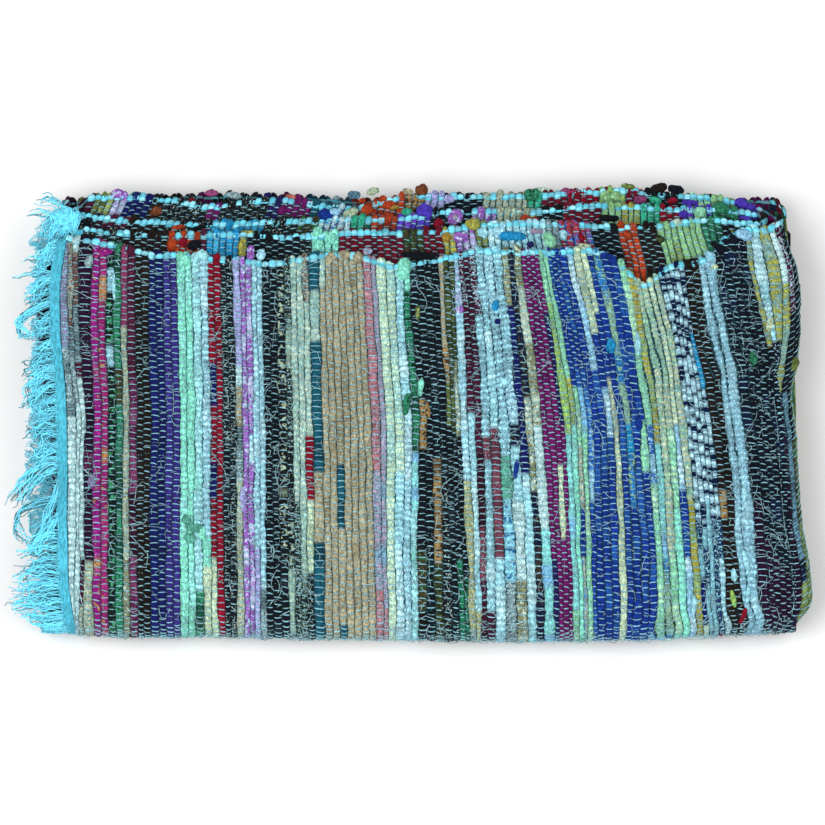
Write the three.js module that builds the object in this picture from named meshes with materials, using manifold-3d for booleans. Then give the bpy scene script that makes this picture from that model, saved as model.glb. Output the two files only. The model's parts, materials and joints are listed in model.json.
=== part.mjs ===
// A hand-woven rag rug, folded and lying on a floor, in millimetres with +Z up.
// +X runs along the warp towards the outer length fold, and +Y from the width fold at the front
// to the selvages at the back. The rug is folded in four along its length, with both fringed ends
// at the left, and those four layers are then folded in half across the width.
import * as THREE from 'three';
import { mergeVertices } from 'three/addons/utils/BufferGeometryUtils.js';
import Module from 'manifold-3d';

// The cloth
const CLOTH_THICKNESS = 7.6;
const HEADING_THICKNESS = 3;
const HEADING_WIDTH = 11;
const PIECE_GAP = 0.4;

// The stack of layers. A depth is counted outwards from the inner face of the width fold.
const LAYER_PITCH = 10;
const DEPTH = {
  top: 3.5 * LAYER_PITCH,
  second: 2.5 * LAYER_PITCH,
  third: 1.5 * LAYER_PITCH,
  fourth: 0.5 * LAYER_PITCH,
};
const WIDTH_FOLD_HEIGHT = DEPTH.top + CLOTH_THICKNESS / 2;

// How far each layer of the upper half reaches back from the front fold, at stations along the rug.
// The dip at 236 is where the selvage is drawn into a notch.
const SELVAGE = [
  { along: -357, top: 373, second: 386, third: 405, fourth: 428 },
  { along: -308, top: 365, second: 380, third: 399, fourth: 428 },
  { along: -265, top: 354, second: 379, third: 397, fourth: 424 },
  { along: -226, top: 353, second: 380, third: 395, fourth: 417 },
  { along: -181, top: 348, second: 381, third: 395, fourth: 422 },
  { along: -140, top: 345, second: 376, third: 397, fourth: 425 },
  { along: -110, top: 351, second: 378, third: 399, fourth: 420 },
  { along: -68, top: 356, second: 382, third: 400, fourth: 413 },
  { along: -15, top: 341, second: 382, third: 400, fourth: 428 },
  { along: 30, top: 350, second: 383, third: 407, fourth: 429 },
  { along: 74, top: 360, second: 391, third: 409, fourth: 428 },
  { along: 130, top: 357, second: 392, third: 408, fourth: 429 },
  { along: 185, top: 360, second: 391, third: 414, fourth: 433 },
  { along: 212, top: 349, second: 388, third: 415, fourth: 434 },
  { along: 236, top: 319, second: 388, third: 414, fourth: 434 },
  { along: 262, top: 341, second: 389, third: 412, fourth: 431 },
  { along: 305, top: 349, second: 393, third: 410, fourth: 428 },
  { along: 329, top: 371, second: 397, third: 411, fourth: 426 },
  { along: 352, top: 382, second: 393, third: 409, fourth: 421 },
  { along: 378, top: 382, second: 392, third: 406, fourth: 414 },
];

// How far each layer of the hidden lower half reaches back, and the sway of its edge.
const UNDER_REACH = { top: 404, second: 410, third: 420, fourth: 428 };
const UNDER_SWAY = 3;
const UNDER_SWAY_LENGTH = 55;

// Where the two ends and the length folds lie, at stations across the width. A place is counted
// along the middle of the stack from the front fold: positive over the top, negative under it.
const FOLD_LINES = [
  { place: -440, start: -350, finish: -346, left: -352, right: 366 },
  { place: -240, start: -352, finish: -348, left: -358, right: 374 },
  { place: -90, start: -347, finish: -344, left: -360, right: 370 },
  { place: -30, start: -342, finish: -342, left: -366, right: 368 },
  { place: 0, start: -339, finish: -341, left: -371, right: 372 },
  { place: 15, start: -344, finish: -343, left: -371, right: 388 },
  { place: 30, start: -348, finish: -345, left: -364, right: 386 },
  { place: 60, start: -349, finish: -346, left: -358, right: 384 },
  { place: 100, start: -350, finish: -347, left: -358, right: 377 },
  { place: 150, start: -350, finish: -348, left: -358, right: 374 },
  { place: 195, start: -351, finish: -349, left: -361, right: 372 },
  { place: 240, start: -353, finish: -349, left: -366, right: 367 },
  { place: 270, start: -356, finish: -350, left: -372, right: 374 },
  { place: 300, start: -359, finish: -350, left: -374, right: 377 },
  { place: 345, start: -360, finish: -347, left: -375, right: 378 },
  { place: 375, start: -357, finish: -342, left: -370, right: 375 },
  { place: 400, start: -353, finish: -338, left: -359, right: 366 },
  { place: 415, start: -352, finish: -336, left: -350, right: 362 },
  { place: 455, start: -352, finish: -334, left: -332, right: 358 },
];
const INNER_FOLD_INSET = 6;
const FRONT_PLACE = 30;

// Soft humps and hollows of the upper half, each with its place, its spread and its rise.
const SWELLS = [
  { along: 236, place: 345, spreadAlong: 24, spreadPlace: 90, rise: -3.4 },
  { along: 204, place: 310, spreadAlong: 20, spreadPlace: 110, rise: 2.5 },
  { along: 270, place: 310, spreadAlong: 24, spreadPlace: 110, rise: 2.5 },
  { along: 248, place: 20, spreadAlong: 40, spreadPlace: 45, rise: 3 },
  { along: -250, place: 200, spreadAlong: 110, spreadPlace: 150, rise: 2 },
  { along: 20, place: 180, spreadAlong: 130, spreadPlace: 110, rise: -2.5 },
  { along: 335, place: 210, spreadAlong: 50, spreadPlace: 150, rise: 2.5 },
];

// Steps of the mesh across the width: floor half, front fold, upper half; and round the turns.
const UNDER_STEPS = 4;
const FRONT_STEPS = 8;
const BACK_PARTS = [0.22, 0.45, 0.65, 0.8, 0.92, 1];
const ROW_COUNT = UNDER_STEPS + FRONT_STEPS + BACK_PARTS.length + 1;
const OUTER_TURN_STEPS = 6;
const INNER_TURN_STEPS = 4;

// The fringe. Reach is the length of the locks at stations across the width.
const LOCKS_PER_END = 62;
const LOCK_ROOT = { halfWidth: 4.6, height: 2.4 };
const LOCK_TIP = { halfWidth: 1.5, height: 1.6 };
const LOCK_STEPS = 4;
const LOCK_OVERLAP = 2;
const LOCK_SET_BACK = 0.3;
const LOCK_EDGE_MARGIN = 9;
const START_FRINGE = {
  reach: [
    { across: -460, length: 36 },
    { across: -330, length: 30 },
    { across: -200, length: 38 },
    { across: -60, length: 32 },
    { across: 0, length: 27 },
    { across: 18, length: 31 },
    { across: 34, length: 46 },
    { across: 60, length: 46 },
    { across: 77, length: 33 },
    { across: 91, length: 41 },
    { across: 104, length: 30 },
    { across: 125, length: 39 },
    { across: 150, length: 50 },
    { across: 166, length: 48 },
    { across: 184, length: 23 },
    { across: 222, length: 34 },
    { across: 241, length: 22 },
    { across: 272, length: 34 },
    { across: 290, length: 26 },
    { across: 313, length: 18 },
    { across: 332, length: 34 },
    { across: 370, length: 24 },
    { across: 386, length: 38 },
    { across: 405, length: 19 },
    { across: 430, length: 22 },
  ],
  setBackUnder: -LOCK_SET_BACK,
  droopUnder: 0,
  droopOver: 8,
  sway: 4,
};
const FINISH_FRINGE = {
  reach: [
    { across: -460, length: 34 },
    { across: -200, length: 30 },
    { across: 0, length: 34 },
    { across: 120, length: 28 },
    { across: 300, length: 32 },
    { across: 390, length: 40 },
    { across: 430, length: 44 },
  ],
  setBackUnder: LOCK_SET_BACK,
  droopUnder: -5,
  droopOver: 6,
  sway: 4,
};

const CLOTH_MATERIAL = { color: 0x5d7f88, roughness: 0.95, metalness: 0 };
const WARP_MATERIAL = { color: 0x57cfe8, roughness: 0.9, metalness: 0 };

const { lerp, smoothstep } = THREE.MathUtils;

// A column of a table, read between its rows by straight interpolation on the key column.
function readTable(rows, key, at, column) {
  const last = rows.length - 1;
  const place = THREE.MathUtils.clamp(at, rows[0][key], rows[last][key]);
  const above = Math.max(1, rows.findIndex((row) => row[key] >= place));
  const low = rows[above - 1];
  const high = rows[above];
  return lerp(low[column], high[column], (place - low[key]) / (high[key] - low[key]));
}

const foldLine = (name) => (place) => readTable(FOLD_LINES, 'place', place, name);
const innerFoldLine = (place) => foldLine('right')(place) - INNER_FOLD_INSET;

// A repeatable fraction from 0 to 1 for the unevenness of strand number index.
function uneven(index, salt) {
  const wave = Math.sin(index * 12.9898 + salt * 78.233) * 43758.5453;
  return wave - Math.floor(wave);
}

// The share by which the stack is thicker or thinner at a point of the upper half.
function swell(along, place) {
  const rise = SWELLS.reduce((sum, hump) => {
    const far = ((along - hump.along) / hump.spreadAlong) ** 2
      + ((place - hump.place) / hump.spreadPlace) ** 2;
    return sum + hump.rise * Math.exp(-far);
  }, 0);
  return (rise / DEPTH.top) * smoothstep(place, 0, 2 * FRONT_PLACE);
}

// The place, along the middle of the stack, of a point at a distance across its own layer: the
// same for every layer that lies above it.
function placeOf(across, depth) {
  const quarter = (Math.PI * depth) / 2;
  if (Math.abs(across) <= quarter) {
    return (across / quarter) * FRONT_PLACE;
  }
  return across + Math.sign(across) * (FRONT_PLACE - quarter);
}

// The width fold: a point of the flat stack, bent round the front axis. Its middle depth sets the
// angle that it has turned through, and proud is how far it stands off that middle surface.
function foldAcross(along, depth, across, proud) {
  const quarter = (Math.PI * depth) / 2;
  const radius = depth * (1 + swell(along, placeOf(across, depth))) + proud;
  if (across > quarter) {
    return new THREE.Vector3(along, across - quarter, WIDTH_FOLD_HEIGHT + radius);
  }
  if (across < -quarter) {
    return new THREE.Vector3(along, -across - quarter, WIDTH_FOLD_HEIGHT - radius);
  }
  const turn = across / depth;
  const forward = -radius * Math.cos(turn);
  return new THREE.Vector3(along, forward, WIDTH_FOLD_HEIGHT + radius * Math.sin(turn));
}

// The distance across, from the front fold, of grid row number row of a column of the cloth.
function acrossAt(column, row) {
  const quarter = (Math.PI * column.depth) / 2;
  if (row <= UNDER_STEPS) {
    return -quarter - column.under * (1 - row / UNDER_STEPS);
  }
  if (row <= UNDER_STEPS + FRONT_STEPS) {
    return lerp(-quarter, quarter, (row - UNDER_STEPS) / FRONT_STEPS);
  }
  return quarter + column.back * BACK_PARTS[row - UNDER_STEPS - FRONT_STEPS - 1];
}

// A closed sheet over a grid of columns and rows. pointAt gives a grid point on the face side 1
// or on the back side -1; the rims between the two sides close it.
function closedSheet(columnCount, rowCount, pointAt) {
  const positions = [];
  const index = [];
  const number = (side, i, j) => ((side > 0 ? 0 : columnCount) + i) * rowCount + j;
  for (const side of [1, -1]) {
    for (let i = 0; i < columnCount; i += 1) {
      for (let j = 0; j < rowCount; j += 1) {
        positions.push(...pointAt(i, j, side).toArray());
      }
    }
  }
  const quad = (a, b, c, d) => index.push(a, b, c, a, c, d);
  const lastColumn = columnCount - 1;
  const lastRow = rowCount - 1;
  for (let i = 0; i < lastColumn; i += 1) {
    for (let j = 0; j < lastRow; j += 1) {
      quad(number(1, i, j), number(1, i + 1, j), number(1, i + 1, j + 1), number(1, i, j + 1));
      quad(number(-1, i, j), number(-1, i, j + 1), number(-1, i + 1, j + 1), number(-1, i + 1, j));
    }
    quad(number(1, i, 0), number(-1, i, 0), number(-1, i + 1, 0), number(1, i + 1, 0));
    quad(number(1, i + 1, lastRow), number(-1, i + 1, lastRow), number(-1, i, lastRow),
      number(1, i, lastRow));
  }
  for (let j = 0; j < lastRow; j += 1) {
    quad(number(1, 0, j), number(1, 0, j + 1), number(-1, 0, j + 1), number(-1, 0, j));
    quad(number(1, lastColumn, j + 1), number(1, lastColumn, j), number(-1, lastColumn, j),
      number(-1, lastColumn, j + 1));
  }
  const geometry = new THREE.BufferGeometry();
  geometry.setAttribute('position', new THREE.Float32BufferAttribute(positions, 3));
  geometry.setIndex(index);
  return geometry;
}

// The columns of one straight layer, one at each station of the selvage table. Its line functions
// give the places of its left and right ends, direction says which way the cloth runs, and facing
// which way its face side looks.
function layerColumns(layer, leftLine, rightLine, direction, facing) {
  const first = SELVAGE[0].along;
  const length = SELVAGE[SELVAGE.length - 1].along - first;
  const columns = SELVAGE.map((row) => {
    const part = (row.along - first) / length;
    return {
      xAt: (place) => lerp(leftLine(place), rightLine(place), part),
      depth: DEPTH[layer],
      back: row[layer],
      under: UNDER_REACH[layer] + UNDER_SWAY * Math.sin(row.along / UNDER_SWAY_LENGTH + DEPTH[layer]),
      normal: new THREE.Vector2(0, facing),
    };
  });
  return direction > 0 ? columns : columns.reverse();
}

// The columns between two layers, round a length fold whose centre is midway between them. The
// turn angle is counted in the plane of along and depth, from +X towards outwards.
function turnColumns(from, to, line, startAngle, endAngle, facing, steps) {
  const centre = (from.depth + to.depth) / 2;
  const radius = Math.abs(from.depth - to.depth) / 2;
  const columns = [];
  for (let step = 1; step < steps; step += 1) {
    const part = step / steps;
    const angle = lerp(startAngle, endAngle, part);
    columns.push({
      xAt: (place) => line(place) + radius * Math.cos(angle),
      depth: centre + radius * Math.sin(angle),
      back: lerp(from.back, to.back, part),
      under: lerp(from.under, to.under, part),
      normal: new THREE.Vector2(Math.cos(angle), Math.sin(angle)).multiplyScalar(facing),
    });
  }
  return columns;
}

// The whole length of the field: top layer, outer fold, fourth layer, left fold, third layer,
// inner fold and second layer.
function fieldColumns() {
  const right = foldLine('right');
  const left = foldLine('left');
  const top = layerColumns('top', foldLine('start'), right, 1, 1);
  const fourth = layerColumns('fourth', left, right, -1, -1);
  const third = layerColumns('third', left, innerFoldLine, 1, 1);
  const second = layerColumns('second', foldLine('finish'), innerFoldLine, -1, -1);
  const half = Math.PI / 2;
  return [
    ...top,
    ...turnColumns(top.at(-1), fourth[0], right, half, -half, 1, OUTER_TURN_STEPS),
    ...fourth,
    ...turnColumns(fourth.at(-1), third[0], left, -half, -3 * half, 1, INNER_TURN_STEPS),
    ...third,
    ...turnColumns(third.at(-1), second[0], innerFoldLine, -half, half, -1, INNER_TURN_STEPS),
    ...second,
  ];
}

function fieldGeometry() {
  const columns = fieldColumns();
  return closedSheet(columns.length, ROW_COUNT, (i, j, side) => {
    const column = columns[i];
    const across = acrossAt(column, j);
    const along = column.xAt(placeOf(across, column.depth));
    const offset = column.normal.clone().multiplyScalar((side * CLOTH_THICKNESS) / 2);
    return foldAcross(along + offset.x, column.depth, across, offset.y);
  });
}

// How far the middle of a heading stands off its layer's middle: on the floor half it lies with
// its underside level with the rug's own, and over the top it sits a little below the face.
function headingProud(end, across) {
  return lerp(end.proudUnder, end.proudOver, smoothstep(across, -60, 60));
}

function headingGeometry(end) {
  return closedSheet(2, ROW_COUNT, (i, j, side) => {
    const across = acrossAt(end, j);
    const along = end.line(placeOf(across, end.depth)) - PIECE_GAP - HEADING_WIDTH * (1 - i);
    const proud = headingProud(end, across) + (side * HEADING_THICKNESS) / 2;
    return foldAcross(along, end.depth, across, proud);
  });
}

// One lock of fringe, a three-sided taper whose flat side lies outwards. It starts inside the
// heading, sways along the edge and droops towards the layers below.
function lockGeometry(end, index) {
  const lowest = -(Math.PI * end.depth) / 2 - end.under + LOCK_EDGE_MARGIN;
  const highest = (Math.PI * end.depth) / 2 + end.back - LOCK_EDGE_MARGIN;
  const root = lerp(lowest, highest, index / (LOCKS_PER_END - 1));
  const reach = readTable(end.fringe.reach, 'across', root, 'length') * lerp(0.8, 1, uneven(index, 1));
  const lean = end.fringe.sway * (2 * uneven(index, 2) - 1);
  const curl = 1.5 * (2 * uneven(index, 3) - 1);
  const upperShare = smoothstep(root, -60, 60);
  const droop = lerp(end.fringe.droopUnder, end.fringe.droopOver, upperShare);
  const setBack = lerp(end.fringe.setBackUnder, LOCK_SET_BACK, upperShare);
  const positions = [];
  for (let step = 0; step <= LOCK_STEPS; step += 1) {
    const part = step / LOCK_STEPS;
    const halfWidth = lerp(LOCK_ROOT.halfWidth, LOCK_TIP.halfWidth, part);
    const height = lerp(LOCK_ROOT.height, LOCK_TIP.height, part);
    const middle = root + lean * part * part + curl * Math.sin(Math.PI * part);
    const edge = end.line(placeOf(root, end.depth)) - PIECE_GAP - HEADING_WIDTH + LOCK_OVERLAP;
    const along = edge - (reach + LOCK_OVERLAP) * part;
    const rootFace = headingProud(end, middle) + HEADING_THICKNESS / 2 - setBack;
    const flat = rootFace - droop * part * part;
    const corners = [
      foldAcross(along, end.depth, middle + halfWidth, flat),
      foldAcross(along, end.depth, middle, flat - height),
      foldAcross(along, end.depth, middle - halfWidth, flat),
    ];
    corners.forEach((corner) => positions.push(...corner.toArray()));
  }
  const faces = [0, 2, 1];
  for (let step = 0; step < LOCK_STEPS; step += 1) {
    for (let side = 0; side < 3; side += 1) {
      const a = step * 3 + side;
      const b = step * 3 + ((side + 1) % 3);
      faces.push(a, b, b + 3, a, b + 3, a + 3);
    }
  }
  const tip = LOCK_STEPS * 3;
  faces.push(tip, tip + 1, tip + 2);
  const geometry = new THREE.BufferGeometry();
  geometry.setAttribute('position', new THREE.Float32BufferAttribute(positions, 3));
  geometry.setIndex(faces);
  return geometry;
}

function toSolid(wasm, geometry) {
  const merged = mergeVertices(geometry);
  return new wasm.Manifold(new wasm.Mesh({
    numProp: 3,
    vertProperties: new Float32Array(merged.attributes.position.array),
    triVerts: new Uint32Array(merged.index.array),
  }));
}

function toGeometry(solid) {
  const mesh = solid.getMesh();
  const geometry = new THREE.BufferGeometry();
  geometry.setAttribute('position', new THREE.BufferAttribute(mesh.vertProperties, 3));
  geometry.setIndex(new THREE.BufferAttribute(mesh.triVerts, 1));
  return geometry;
}

// The heading of one end with its fringe, fused at the roots.
function fringeGeometry(wasm, end) {
  let solid = toSolid(wasm, headingGeometry(end));
  for (let index = 0; index < LOCKS_PER_END; index += 1) {
    solid = solid.add(toSolid(wasm, lockGeometry(end, index)));
  }
  return toGeometry(solid);
}

function namedMesh(name, geometry, look) {
  geometry.computeVertexNormals();
  const mesh = new THREE.Mesh(geometry, new THREE.MeshStandardMaterial(look));
  mesh.name = name;
  return mesh;
}

const wasm = await Module();
wasm.setup();

const startEnd = {
  line: foldLine('start'),
  depth: DEPTH.top,
  back: SELVAGE[0].top - 2,
  under: UNDER_REACH.top - 4,
  proudUnder: (CLOTH_THICKNESS - HEADING_THICKNESS) / 2 - LOCK_SET_BACK,
  proudOver: 1,
  fringe: START_FRINGE,
};
const finishEnd = {
  line: foldLine('finish'),
  depth: DEPTH.second,
  back: SELVAGE[0].second - 2,
  under: UNDER_REACH.second - 4,
  proudUnder: 0,
  proudOver: 0,
  fringe: FINISH_FRINGE,
};

const rug = new THREE.Group();
rug.add(namedMesh('rug_field', fieldGeometry(), CLOTH_MATERIAL));
rug.add(namedMesh('fringe_start', fringeGeometry(wasm, startEnd), WARP_MATERIAL));
rug.add(namedMesh('fringe_finish', fringeGeometry(wasm, finishEnd), WARP_MATERIAL));

// The origin is under the middle of the folded rug.
const box = new THREE.Box3().setFromObject(rug);
const middle = box.getCenter(new THREE.Vector3());
rug.children.forEach((mesh) => mesh.position.set(-middle.x, -middle.y, 0));

export default rug;
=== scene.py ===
"""Looks of a hand-woven rag rug, folded in four along its length and then in half across its width.

Everything is first laid out in flat cloth space, in millimetres. t runs along the warp, across is the
distance from the front width fold, and lift stands off the middle of the cloth. Each course, which is
one straight layer of the stack or one turn between two layers, then folds its own points into place.
"""
import json

import bpy
import numpy as np
from bpy.props import FloatProperty, FloatVectorProperty, IntProperty, PointerProperty
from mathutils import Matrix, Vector

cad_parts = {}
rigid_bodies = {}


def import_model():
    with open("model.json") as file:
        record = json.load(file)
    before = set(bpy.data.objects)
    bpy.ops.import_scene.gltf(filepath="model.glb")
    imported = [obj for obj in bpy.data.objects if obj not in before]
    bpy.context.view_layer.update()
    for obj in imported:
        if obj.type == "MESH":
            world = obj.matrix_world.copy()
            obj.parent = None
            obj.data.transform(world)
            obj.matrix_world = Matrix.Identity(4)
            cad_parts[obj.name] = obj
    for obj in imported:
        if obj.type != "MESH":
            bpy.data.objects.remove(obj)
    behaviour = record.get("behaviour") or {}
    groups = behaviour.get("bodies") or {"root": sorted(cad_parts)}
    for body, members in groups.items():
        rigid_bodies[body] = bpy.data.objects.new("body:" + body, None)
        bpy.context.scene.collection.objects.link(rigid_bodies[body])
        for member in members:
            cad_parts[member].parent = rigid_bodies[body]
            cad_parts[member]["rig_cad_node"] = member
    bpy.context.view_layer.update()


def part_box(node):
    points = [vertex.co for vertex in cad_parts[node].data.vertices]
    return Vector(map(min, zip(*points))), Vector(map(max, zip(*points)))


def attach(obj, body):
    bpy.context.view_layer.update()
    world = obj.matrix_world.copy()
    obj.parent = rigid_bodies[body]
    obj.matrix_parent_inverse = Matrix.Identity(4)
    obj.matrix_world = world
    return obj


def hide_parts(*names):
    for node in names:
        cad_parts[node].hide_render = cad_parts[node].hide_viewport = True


bl_info = {
    "name": "Folded rag rug",
    "version": (1, 0, 0),
    "blender": (4, 5, 0),
    "location": "View3D > Sidebar > Rag rug",
    "description": "Rags, warp, headings and fringe of a folded hand-woven rag rug",
    "category": "Object",
}

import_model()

# The folded stack, as the solid has it, in millimetres.
LAYER_LENGTH = 735.0
WARP_COUNT = 268
FRONT_AXIS_HEIGHT = 38.8
FRONT_PLACE = 30.0
TOP_DEPTH, SECOND_DEPTH, THIRD_DEPTH, FOURTH_DEPTH = 35.0, 25.0, 15.0, 5.0
INNER_FOLD_INSET = 6.0
HEADING_WIDTH = 11.0
PIECE_GAP = 0.4

# Columns: along, then how far back the top, second, third and fourth layers reach.
SELVAGE = np.array([
    (-357, 373, 386, 405, 428), (-308, 365, 380, 399, 428), (-265, 354, 379, 397, 424),
    (-226, 353, 380, 395, 417), (-181, 348, 381, 395, 422), (-140, 345, 376, 397, 425),
    (-110, 351, 378, 399, 420), (-68, 356, 382, 400, 413), (-15, 341, 382, 400, 428),
    (30, 350, 383, 407, 429), (74, 360, 391, 409, 428), (130, 357, 392, 408, 429),
    (185, 360, 391, 414, 433), (212, 349, 388, 415, 434), (236, 319, 388, 414, 434),
    (262, 341, 389, 412, 431), (305, 349, 393, 410, 428), (329, 371, 397, 411, 426),
    (352, 382, 393, 409, 421), (378, 382, 392, 406, 414),
], float)
BACK_COLUMN = {TOP_DEPTH: 1, SECOND_DEPTH: 2, THIRD_DEPTH: 3, FOURTH_DEPTH: 4}
UNDER_REACH = {TOP_DEPTH: 404.0, SECOND_DEPTH: 410.0, THIRD_DEPTH: 420.0, FOURTH_DEPTH: 428.0}

# Columns: place back from the front fold, then the start end, finish end, left fold and right fold.
FOLD_LINES = np.array([
    (-440, -350, -346, -352, 366), (-240, -352, -348, -358, 374), (-90, -347, -344, -360, 370),
    (-30, -342, -342, -366, 368), (0, -339, -341, -371, 372), (15, -344, -343, -371, 388),
    (30, -348, -345, -364, 386), (60, -349, -346, -358, 384), (100, -350, -347, -358, 377),
    (150, -350, -348, -358, 374), (195, -351, -349, -361, 372), (240, -353, -349, -366, 367),
    (270, -356, -350, -372, 374), (300, -359, -350, -374, 377), (345, -360, -347, -375, 378),
    (375, -357, -342, -370, 375), (400, -353, -338, -359, 366), (415, -352, -336, -350, 362),
    (455, -352, -334, -332, 358),
], float)
LINE_COLUMN = {"start": 1, "finish": 2, "left": 3, "right": 4}

# How far the front fold bows out past a straight line, in millimetres: along, then the bow.
FRONT_BOW = np.array([
    (-352, 0), (-298, 4), (-200, 3.5), (-85, 6), (20, 7), (105, 8.5), (230, 7), (295, 3), (355, 0), (400, -3),
], float)

# Soft humps: along, place, spread along, spread across and rise.
SWELLS = [
    (236, 345, 24, 90, -3.4), (204, 310, 20, 110, 2.5), (270, 310, 24, 110, 2.5), (248, 20, 40, 45, 3.0),
    (-250, 200, 110, 150, 2.0), (20, 180, 130, 110, -2.5), (335, 210, 50, 150, 2.5),
]

# Reach of the fringe at distances across, for the two ends.
START_REACH = np.array([
    (-460, 36), (-330, 30), (-200, 38), (-60, 32), (0, 27), (18, 31), (34, 46), (60, 46), (77, 33),
    (91, 41), (104, 30), (125, 39), (150, 50), (166, 48), (184, 23), (222, 34), (241, 22), (272, 34),
    (290, 26), (313, 18), (332, 34), (370, 24), (386, 38), (405, 19), (430, 22),
], float)
FINISH_REACH = np.array([
    (-460, 34), (-200, 30), (0, 20), (90, 18), (112, 8), (150, 8), (170, 14), (300, 16), (390, 12), (430, 10),
], float)

# Locks of the fringes as the photograph shows them, in its pixels: how far down the lock's root is and
# half the height of it, the point that it bends towards, its tip, the tip's spread and its yarns.
START_LOCKS = np.array([
    (243, 6, 46, 246, 38, 262, 4, 30), (254, 5, 42, 262, 37, 274, 3, 24), (260, 1, 35, 257, 19, 261, 1, 2),
    (272, 2, 34, 270, 9, 277, 0.6, 5), (279, 6, 36, 282, 29, 296, 4, 28), (292, 6, 36, 296, 28, 303, 3, 24),
    (304, 6, -6, 322, 33, 338, 2, 24), (316, 6, 42, 318, 36, 330, 5, 22), (330, 6, 40, 330, 36, 338, 4, 22),
    (345, 6, 48, 345, 35, 352, 4, 26), (357, 6, 42, 355, 28, 368, 4, 28), (370, 6, 42, 368, 25, 381, 4, 28),
    (378, 5, 34, 372, 28, 398, 4, 22), (388, 6, 40, 385, 28, 404, 5, 28), (400, 6, 46, 400, 36, 411, 5, 26),
    (412, 6, 44, 415, 38, 424, 4, 28), (424, 5, 42, 420, 27, 431, 3, 18), (434, 6, 42, 432, 34, 440, 5, 28),
    (448, 6, 44, 450, 35, 454, 4, 26), (462, 5, 36, 458, 10, 499, 4, 24), (471, 4, 40, 474, 18, 503, 3, 18),
    (484, 5, 56, 514, 34, 543, 3, 28), (500, 4, -8, 508, 33, 543, 2, 15), (520, 8, 52, 525, 38, 545, 4, 26),
    (536, 6, 42, 535, 31, 547, 5, 26), (548, 6, 40, 545, 20, 552, 3, 22), (560, 6, 42, 560, 30, 564, 5, 26),
    (572, 6, 38, 566, 18, 573, 4, 24), (582, 6, 38, 584, 17, 589, 5, 24), (592, 6, 40, 596, 20, 599, 4, 22),
    (603, 6, 38, 603, 16, 608, 4, 24), (614, 6, 42, 617, 28, 615, 5, 26), (624, 6, 50, 628, 38, 627, 5, 26),
    (632, 5, 54, 637, 49, 634, 4, 18),
], float)
FINISH_LOCKS = np.array([
    (234, 4, 80, 190, 60, 236, 4, 36), (234, 4, 66, 186, 46, 242, 4, 48), (234, 4, 52, 192, 41, 238, 3, 36),
    (234, 4, 50, 205, 25, 213, 2, 9), (234, 4, 58, 190, 37, 202, 2, 12), (236, 4, 72, 206, 52, 240, 5, 30),
], float)

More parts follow.
